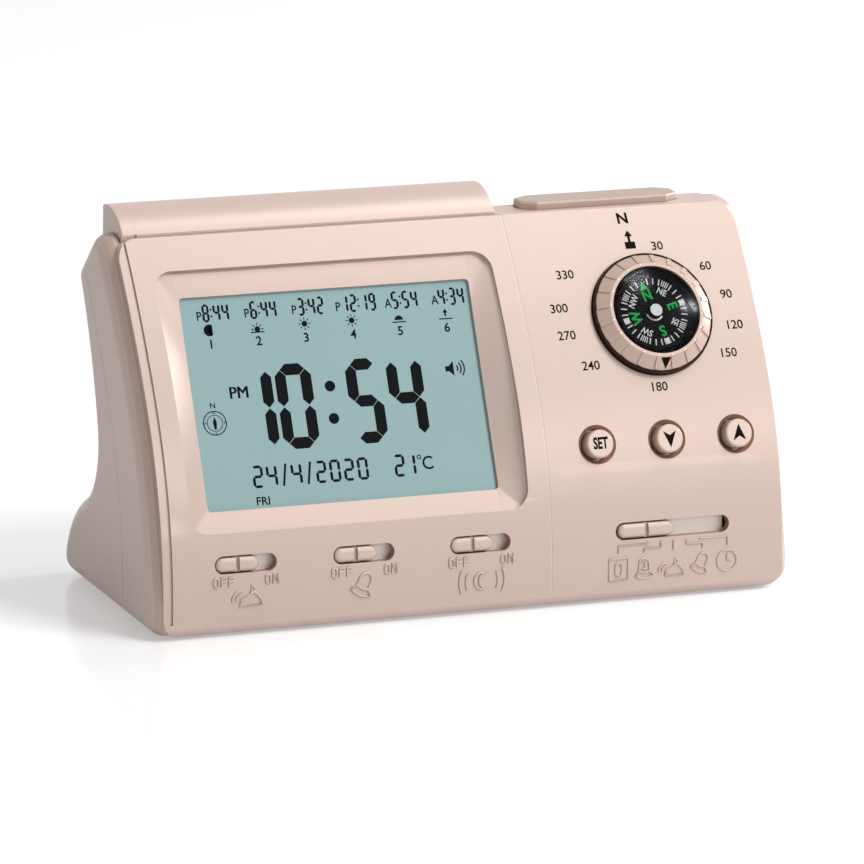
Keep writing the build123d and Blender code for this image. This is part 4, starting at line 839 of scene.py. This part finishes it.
class CLOCK_OT_inner_parts(bpy.types.Operator):
    """Finishes of the pieces inside and under the clock"""

    bl_idname = "clock.inner_parts"
    bl_label = "Inner parts"

    def execute(self, context):
        paint = context.scene.clock_paint
        finishes = {
            "dark_rubber": soft_rubber("foot_rubber", (0.03, 0.03, 0.035)),
            "steel": plain_metal("spring_steel", (0.55, 0.55, 0.57), 0.3),
            "lcd_glass": display_glass("display_ground", paint.glass),
            "light_guide": moulded_plastic("light_guide_plastic", (0.80, 0.85, 0.86), 0.12),
            "white_plastic": moulded_plastic("holder_plastic", (0.75, 0.75, 0.72), 0.5),
            "zebra": soft_rubber("contact_strip_rubber", (0.12, 0.12, 0.13)),
            "board_green": board_laminate("board_green_laminate", (0.02, 0.10, 0.05)),
            "blob_black": moulded_plastic("resin_black", (0.012, 0.012, 0.012), 0.18),
            "screw_steel": plain_metal("zinc_screws", (0.62, 0.62, 0.65), 0.25),
            "switch_black": moulded_plastic("switch_black_plastic", (0.02, 0.02, 0.022), 0.45),
            "cup_black": moulded_plastic("compass_black_plastic", (0.002, 0.002, 0.002), 0.5, 0.000005, 0.08),
            "card_black": moulded_plastic("card_black_print", (0.0015, 0.0015, 0.0015), 0.6, 0.0, 0.05),
            "magnet_grey": plain_metal("magnet_grey_ferrite", (0.12, 0.12, 0.13), 0.5),
            "lens_clear": clear_dome("dome_clear_plastic"),
            "speaker_steel": plain_metal("speaker_pressed_steel", (0.4, 0.4, 0.41), 0.35),
            "cone_black": speaker_paper("speaker_black_paper", (0.02, 0.02, 0.02)),
            "cell_wrap": plain_metal("cell_foil_sleeve", (0.5, 0.52, 0.55), 0.28),
        }
        slots = {part["node"]: part["material_slot"] for part in frame["record"]["subparts"]}
        for node, item in frame["nodes"].items():
            if slots[node] in finishes:
                item.data.materials.clear()
                item.data.materials.append(finishes[slots[node]])
        dome = merged_copy("compass_lens", "compass_dome", 50.0)
        dome_normals(dome)
        finish(dome, finishes["lens_clear"], "case")
        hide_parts("compass_lens")
        return {"FINISHED"}


class CLOCK_OT_display(bpy.types.Operator):
    """Dark parts of the liquid crystal display"""

    bl_idname = "clock.display"
    bl_label = "Display"

    def execute(self, context):
        layout = context.scene.clock_display
        ink = print_ink("display_segments", context.scene.clock_paint.segments, 0.4)
        wide, high = WINDOW_SIZE

        def at(u, v):
            """Place in millimetres of a point given in shares of the display, from its upper left corner."""
            return (u - 0.5) * wide, (0.5 - v) * high

        # the time
        marks = []
        tall, stroke = layout.clock_digit_height / MM, 2.6
        for sign, left, right in (("1", 0.168, 0.292), ("0", 0.292, 0.416), ("5", 0.534, 0.652),
                                  ("4", 0.675, 0.797)):
            x, y = at((left + right) / 2, 0.536)
            width = (right - left) * wide
            if sign == "1":
                x = at(0.261, 0)[0] - (width - stroke) / 2
            marks += digit(sign, x, y, width, tall, stroke, 0.45)
        for u, v in ((0.476, 0.455), (0.474, 0.607)):
            marks.append(dot(*at(u, v), 1.25))
        # the letters three times, a little apart, for a bolder stroke
        for aside in (-0.09, 0.0, 0.09):
            marks.append(words("PM", at(0.164, 0)[0] + aside, at(0, 0.456)[1], 2.8, 0.95))
        # six small times
        columns = [0.094 + 0.1627 * i for i in range(6)]
        small, step, stroke = layout.small_digit_height / MM, 2.05, 0.52
        for i, (half, *signs) in enumerate(("P844", "P644", "P342", "P1219", "A554", "A434")):
            x, y = at(columns[i], 0.075)
            start = x - 0.35 if len(signs) == 3 else x - 1.15
            marks.append(words(half, start - step * 0.82, y - 0.7, 2.1, 0.85, bold=0.03))
            for j, sign in enumerate(signs):
                past_colon = 0.55 if j >= len(signs) - 2 else 0.0
                marks += digit(sign, start + j * step + past_colon, y, 1.65, small, stroke, 0.12)
            colon = start + (len(signs) - 2) * step - step / 2 + 0.28
            marks += [dot(colon, y + 0.75, 0.24, 10), dot(colon, y - 0.75, 0.24, 10)]
        # sun and moon signs with plain numbers under the small times
        for i in range(6):
            marks += sky_sign(i, *at(columns[i], 0.155))
            marks.append(words(str(i + 1), *at(columns[i], 0.222), 2.1, 1.0, bold=0.05))
        # date and temperature
        x, y = at(0.17, 0.85)
        step, width = 3.32, 2.55
        size = (width, 5.1, 0.62, 0.15)
        pen = x + width / 2
        for sign in "24/4/2020":
            if sign == "/":
                marks.append(shape(((-0.75, -2.5), (-0.25, -2.5), (0.75, 2.5), (0.25, 2.5)), pen - 0.3, y))
                pen += width
            else:
                marks += digit(sign, pen, y, *size)
                pen += step
        x, y = at(0.656, 0.85)
        marks += digit("2", x + 1.3, y, *size) + digit("1", x + 3.9, y, *size)
        marks += [ring(x + 6.2, y + 1.6, 0.55, 0.22, 16), words("C", x + 8.1, y, 3.1, 0.95, bold=0.03)]
        marks.append(words("FRI", *at(0.195, 0.965), 1.9, 1.0, bold=0.04))
        # small compass at the left
        x, y = at(0.069, 0.587)
        marks += [ring(x, y, 2.8, 0.22), ring(x, y, 1.9, 0.14), words("N", x, y + 3.9, 1.3, 1.0, bold=0.02),
                  shape(((-0.25, -1.4), (0.25, -1.4), (0.45, 0.2), (0.0, 1.5), (-0.45, 0.2)), x, y)]
        for text, dx, dy in (("N", 0, 2.33), ("E", 2.33, 0), ("S", 0, -2.33), ("W", -2.33, 0)):
            marks.append(words(text, x + dx, y + dy, 0.62))
        # loudspeaker sign at the right
        x, y = at(0.912, 0.415)
        horn = ((-2.2, -0.6), (-1.3, -0.6), (-0.2, -1.7), (-0.2, 1.7), (-1.3, 0.6), (-2.2, 0.6))
        marks.append(shape(horn, x, y))
        for radius in (1.0, 1.8, 2.6):
            marks.append(flat_arc(x - 0.2, y, radius, -42, 42, 0.3))
        lay(marks, "display_segments", WINDOW, GLASS_FRONT * MM + layout.lift, ink, "case")
        return {"FINISHED"}


def flat_arc(x, y, radius, start, end, width):
    """Flat curved band."""
    outer = arc_points(x, y, radius + width / 2, start, end)
    return shape(outer + arc_points(x, y, radius - width / 2, end, start))


def sky_sign(index, x, y, scale=1.35):
    """Moon, low sun over a line, full sun twice, half sun on a line, or arrow over a line."""
    line = ((-1.2, -0.95), (1.2, -0.95), (1.2, -0.75), (-1.2, -0.75))
    outlines = []
    if index == 0:
        outlines.append(arc_points(0, 0, 1.0, 60, 300, 16) + arc_points(0.55, 0, 0.88, 270, 90, 12))
    elif index == 4:
        outlines += [arc_points(0, -0.5, 0.75, 0, 180, 12), line]
    elif index == 5:
        outlines += [line, ((-0.15, -0.4), (0.15, -0.4), (0.15, 0.2), (0.45, 0.2), (0, 0.85), (-0.45, 0.2),
                            (-0.15, 0.2))]
    else:
        centre = -0.35 if index == 1 else 0.0
        outlines.append(arc_points(0, centre, 0.5, 0, 337.5, 16))
        for i in range(8):
            turn = math.radians(i * 45)
            if index != 1 or math.sin(turn) > -0.1:
                c, s = math.cos(turn), math.sin(turn)
                outlines.append([(r * c - w * s, centre + r * s + w * c)
                                 for r, w in ((0.68, 0.08), (0.68, -0.08), (1.05, -0.08), (1.05, 0.08))])
        if index == 1:
            outlines.append(line)
    return [shape([(px * scale, py * scale) for px, py in outline], x, y) for outline in outlines]


def turned(x, y, angle):
    """Point turned counter-clockwise by angle degrees about the plane's origin."""
    c, s = math.cos(math.radians(angle)), math.sin(math.radians(angle))
    return x * c - y * s, x * s + y * c


def radial(angle, inner, outer, width):
    """Flat tick that points away from the origin, angle counter-clockwise from straight up."""
    corners = ((-width / 2, inner), (width / 2, inner), (width / 2, outer), (-width / 2, outer))
    return shape([turned(px, py, angle) for px, py in corners])


class CLOCK_OT_compass(bpy.types.Operator):
    """Compass card and marks on the bezel"""

    bl_idname = "clock.compass"
    bl_label = "Compass"

    def execute(self, context):
        white = print_ink("card_white_print", (0.88, 0.91, 0.89))
        green = print_ink("card_green_print", (0.02, 0.46, 0.09))
        black = print_ink("face_black_print", context.scene.clock_paint.ink)
        bright = print_ink("bezel_bright_dots", (0.9, 0.86, 0.82), 0.3)
        lift = context.scene.clock_display.lift
        card = COMPASS @ Matrix.Rotation(math.radians(CARD_TURN), 4, "Z")
        above_card = CARD_TOP * MM + lift
        ticks = []
        for base, name in ((0, "NW"), (90, "SW"), (180, "SE"), (270, "NE")):
            if base:
                ticks.append(radial(base, 6.7, TICKS_END, 0.85))
            for step in (11.25, 22.5, 33.75, 56.25, 67.5, 78.75):
                ticks.append(radial(base + step, TICKS_START, TICKS_END, 0.26))
            for step in (4.6, 39.6, 43.2, 46.8, 50.4, 85.4):
                if 5.0 < base + step < 355.0:
                    ticks.append(radial(base + step, TICKS_START, TICKS_END, 0.2))
            ticks.append(words(name, *turned(0, 5.3, base + 45), 1.6, 0.85, base + 45, bold=0.03))
        ticks.append(flat_arc(0.0, 0.0, 2.0, 195 - CARD_TURN, 325 - CARD_TURN, 0.4))
        lay(ticks, "card_marks", card, above_card, white, "card")
        letters = [words(text, *turned(0, 4.7 if angle else 4.0, angle), 2.5, 0.9, angle, bold=0.1)
                   for text, angle in (("N", 0), ("W", 90), ("S", 180), ("E", 270))]
        letters.append(shape(((-1.0, 5.6), (1.0, 5.6), (0.0, 7.6))))
        lay(letters, "card_letters", card, above_card, green, "card")
        lay([dot(0, 0, 1.45, 32)], "card_cap", COMPASS, HUB_TOP * MM + lift, white, "card")
        dots = [dot(*turned(0, 11.1, (i + 0.5) * 18), 0.2, 12) for i in range(20)]
        lay(dots, "bezel_dots", COMPASS, BEZEL_TOP * MM + lift, bright, "bezel")
        # black pointer on the sloping side of the bezel
        pointer = shape(((-1.2, 11.5), (1.2, 11.5), (0.0, 13.75)))
        inner, outer, low = BEZEL_SLOPE
        for vertex in pointer.data.vertices:
            fall = (vertex.co.y - inner * MM) * (BEZEL_TOP - low) / (outer - inner)
            vertex.co.z = BEZEL_TOP * MM - fall + lift
        lay([pointer], "bezel_pointer", COMPASS @ Matrix.Rotation(math.pi, 4, "Z"), 0.0, black, "bezel")
        return {"FINISHED"}


class CLOCK_OT_printed_marks(bpy.types.Operator):
    """Printed degree numbers round the compass and signs on the buttons"""

    bl_idname = "clock.printed_marks"
    bl_label = "Printed marks"

    def execute(self, context):
        black = bpy.data.materials["face_black_print"]
        lift = context.scene.clock_display.lift
        for text, x, height in (
                ("N", 47.2, 80.5), ("30", 54.1, 74.7), ("330", 29.9, 70.2), ("300", 26.7, 63.6),
                ("270", 27.3, 58.1), ("240", 31.8, 51.7), ("60", 64.8, 70.1), ("90", 68.4, 64.2),
                ("120", 68.8, 57.9), ("150", 66.0, 52.3), ("180", 47.5, 46.4)):
            name, size, bold = ("mark_north", 2.7, 0.11) if text == "N" else ("mark_" + text, 2.15, 0.03)
            word = words(text, 0, 0, size, 1.0, bold=bold)
            lay([word], name, face_plane(x, height), lift, black, "case")
        arrow = [shape(((-0.95, 0.9), (0.95, 0.9), (0.0, 2.4))),
                 shape(((-1.25, -2.2), (1.25, -2.2), (1.25, -0.5), (-1.25, -0.5))),
                 shape(((-0.3, -0.5), (0.3, -0.5), (0.3, 0.9), (-0.3, 0.9)))]
        lay(arrow, "mark_arrow", face_plane(47.6, 76.3), lift, black, "case")
        for key, x, way in zip(("set", "down", "up"), BUTTONS, (0, -1, 1)):
            if way:
                sign = shape([(px, py * way) for px, py in ((-1.6, -1.7), (0, -0.7), (1.6, -1.7), (0, 2.1))])
            else:
                sign = words("SET", 0, 0, 2.6, 0.64, bold=0.13)
            lay([sign], key + "_sign", face_plane(x, BUTTON_HEIGHT), BUTTON_TOP * MM + lift, black,
                key + "_key")
        return {"FINISHED"}


def relief(parts, name, x, height, width=0.56):
    """Raised outline drawing on the case, in a lighter copy of the case paint that stands for the highlights
    on its ridges. Each part is (points, closed).
    """
    lines = [stroke_line(points, width, closed) for points, closed in parts]
    paint = bpy.data.materials["relief_painted_highlight"]
    lay(lines, name, face_plane(x, height), RELIEF_LIFT * MM, paint, "case")


LETTER_PITCH = 1.75
LETTERS = {
    "O": [([(-0.55, 0.6), (-0.55, -0.6), (-0.25, -1.0), (0.25, -1.0), (0.55, -0.6), (0.55, 0.6), (0.25, 1.0),
            (-0.25, 1.0)], True)],
    "F": [([(-0.5, -1.0), (-0.5, 1.0), (0.6, 1.0)], False), ([(-0.5, 0.1), (0.4, 0.1)], False)],
    "N": [([(-0.55, -1.0), (-0.55, 1.0), (0.55, -1.0), (0.55, 1.0)], False)],
}


def moved(parts, scale=1.0, turn=0.0, aside=0.0):
    """Lines of a sign after scaling, a move to the side and a turn."""
    return [([turned(px * scale + aside, py * scale, turn) for px, py in points], closed)
            for points, closed in parts]


def relief_word(text, x, height):
    """Raised word out of thin lines."""
    parts = []
    for i, sign in enumerate(text):
        parts += moved(LETTERS[sign], aside=(i - (len(text) - 1) / 2) * LETTER_PITCH)
    relief(parts, "relief_" + text.lower() + "_" + str(int(x * 10)).replace("-", "m"), x, height)


def bell_sign(turn, scale):
    """Outline of a bell: dome, rim and the edge between them."""
    dome = [(-1.4, -1.0), (-1.35, 0.6)] + arc_points(0, 0.9, 1.35, 170, 10, 9) + [(1.35, 0.6), (1.4, -1.0)]
    rim = [(-1.4, -1.0), (-2.4, -2.1)] + arc_points(0, 1.6, 4.4, 237, 303, 7) + [(2.4, -2.1), (1.4, -1.0)]
    parts = [(dome, False), (rim, False), ([(-1.4, -1.0), (0.0, -1.35), (1.4, -1.0)], False)]
    return moved(parts, scale, turn)


def speaker_sign(scale):
    """Outline of a low roof with a horn on it that gives out waves."""
    parts = [([(-2.2, -2.3), (3.2, -2.3), (2.6, -0.6), (1.2, 0.7), (0.2, 0.2), (-1.9, -1.6)], True),
             ([(0.5, 0.6), (0.7, 2.2), (1.5, 1.4)], False), ([(-0.9, -0.4), (-2.0, -1.2)], False),
             (arc_points(-2.0, -0.9, 1.0, 80, 190, 6), False),
             (arc_points(-2.0, -0.9, 1.9, 80, 190, 8), False)]
    return moved(parts, scale)


class CLOCK_OT_relief_marks(bpy.types.Operator):
    """Raised words and signs by the slide switches"""

    bl_idname = "clock.relief_marks"
    bl_label = "Raised marks"

    def execute(self, context):
        # painted highlight: the raised marks are in the case's paint, drawn here in a lighter copy of it
        satin_paint("relief_painted_highlight", rgb(context.scene.clock_paint.case, 1.12))
        for x in (-60.8, -32.8, -4.7):
            relief_word("OFF", x, 12.1)
        for x in (-49.4, -21.1, 7.0):
            relief_word("ON", x, 12.1)
        # by the small switches: loudspeaker over a low roof, tilted bell, moon between waves
        relief(speaker_sign(1.0), "relief_voice", -54.9, 8.8)
        relief(bell_sign(-25.0, 1.05), "relief_bell", -27.5, 9.3)
        waves = [(arc_points(0, 0, r, a - 28, a + 28, 9), False) for r in (3.9, 5.5) for a in (0, 180)]
        moon = arc_points(0, 0, 1.9, 60, 300, 14) + arc_points(0.95, 0, 1.68, 258, 102, 10)
        relief(waves + [(moon, True)], "relief_pause", 0.9, 7.5)
        # under the mode switch: numbered page, bell with a one, loudspeaker, tilted bell, clock
        page = [([(-2.3, -2.5), (2.3, -2.5), (2.3, 2.5), (-2.3, 2.5)], True),
                ([(-0.8, 0.9), (-0.8, -0.9), (-0.3, -1.5), (0.3, -1.5), (0.8, -0.9), (0.8, 0.9), (0.3, 1.5),
                  (-0.3, 1.5)], True)]
        relief(page, "relief_page", 34.3, 7.35, 0.5)
        one = [([(-0.5, 1.1), (0.1, 1.6), (0.1, -0.4)], False), ([(-0.5, -0.4), (0.6, -0.4)], False)]
        relief(bell_sign(0.0, 0.9) + one, "relief_bell_one", 40.6, 7.35, 0.5)
        relief(speaker_sign(0.88), "relief_voice_mode", 47.7, 7.0, 0.5)
        relief(bell_sign(-25.0, 0.9), "relief_bell_mode", 54.9, 7.6, 0.5)
        clock = [(arc_points(0, 0, 2.45, 0, 345, 24), True), ([(0, 1.5), (0, 0), (1.3, 0)], False)]
        relief(clock, "relief_clock", 61.2, 7.35, 0.5)
        lines = [([(-6.15, -2.9), (-6.15, -3.2), (-13.4, -3.2), (-13.4, -5.0)], False),
                 ([(-2.9, -2.9), (-2.9, -4.25), (-7.0, -4.25), (-7.0, -5.1)], False),
                 ([(0.2, -2.9), (0.2, -5.1)], False),
                 ([(3.4, -2.9), (3.4, -4.0), (7.4, -4.0), (7.4, -5.1)], False),
                 ([(6.7, -3.0), (13.6, -3.0), (13.6, -5.0)], False)]
        relief(lines, "relief_brackets", SLOTS[3][0], SLOT_HEIGHT, 0.42)
        return {"FINISHED"}


class CLOCK_PT_panel(bpy.types.Panel):
    """Steps and sizes of the clock"""

    bl_idname = "CLOCK_PT_panel"
    bl_label = "Desk alarm clock"
    bl_space_type = "VIEW_3D"
    bl_region_type = "UI"
    bl_category = "Clock"

    def draw(self, context):
        layout = self.layout
        for step in STEPS:
            layout.operator(step.bl_idname)
        for group in (context.scene.clock_paint, context.scene.clock_display, context.scene.clock_stage):
            box = layout.box()
            for name in group.__annotations__:
                box.prop(group, name)


STEPS = (CLOCK_OT_stage, CLOCK_OT_case, CLOCK_OT_controls, CLOCK_OT_inner_parts, CLOCK_OT_display,
         CLOCK_OT_compass, CLOCK_OT_printed_marks, CLOCK_OT_relief_marks)
CLASSES = (ClockPaint, DisplayLayout, StageLook) + STEPS + (CLOCK_PT_panel,)


def register():
    for cls in CLASSES:
        bpy.utils.register_class(cls)
    bpy.types.Scene.clock_paint = bpy.props.PointerProperty(type=ClockPaint)
    bpy.types.Scene.clock_display = bpy.props.PointerProperty(type=DisplayLayout)
    bpy.types.Scene.clock_stage = bpy.props.PointerProperty(type=StageLook)


def unregister():
    del bpy.types.Scene.clock_stage
    del bpy.types.Scene.clock_display
    del bpy.types.Scene.clock_paint
    for cls in reversed(CLASSES):
        bpy.utils.unregister_class(cls)


def main():
    register()
    for step in (bpy.ops.clock.stage, bpy.ops.clock.case, bpy.ops.clock.controls, bpy.ops.clock.inner_parts,
                 bpy.ops.clock.display, bpy.ops.clock.compass, bpy.ops.clock.printed_marks,
                 bpy.ops.clock.relief_marks):
        step()


if __name__ == "__main__":
    main()
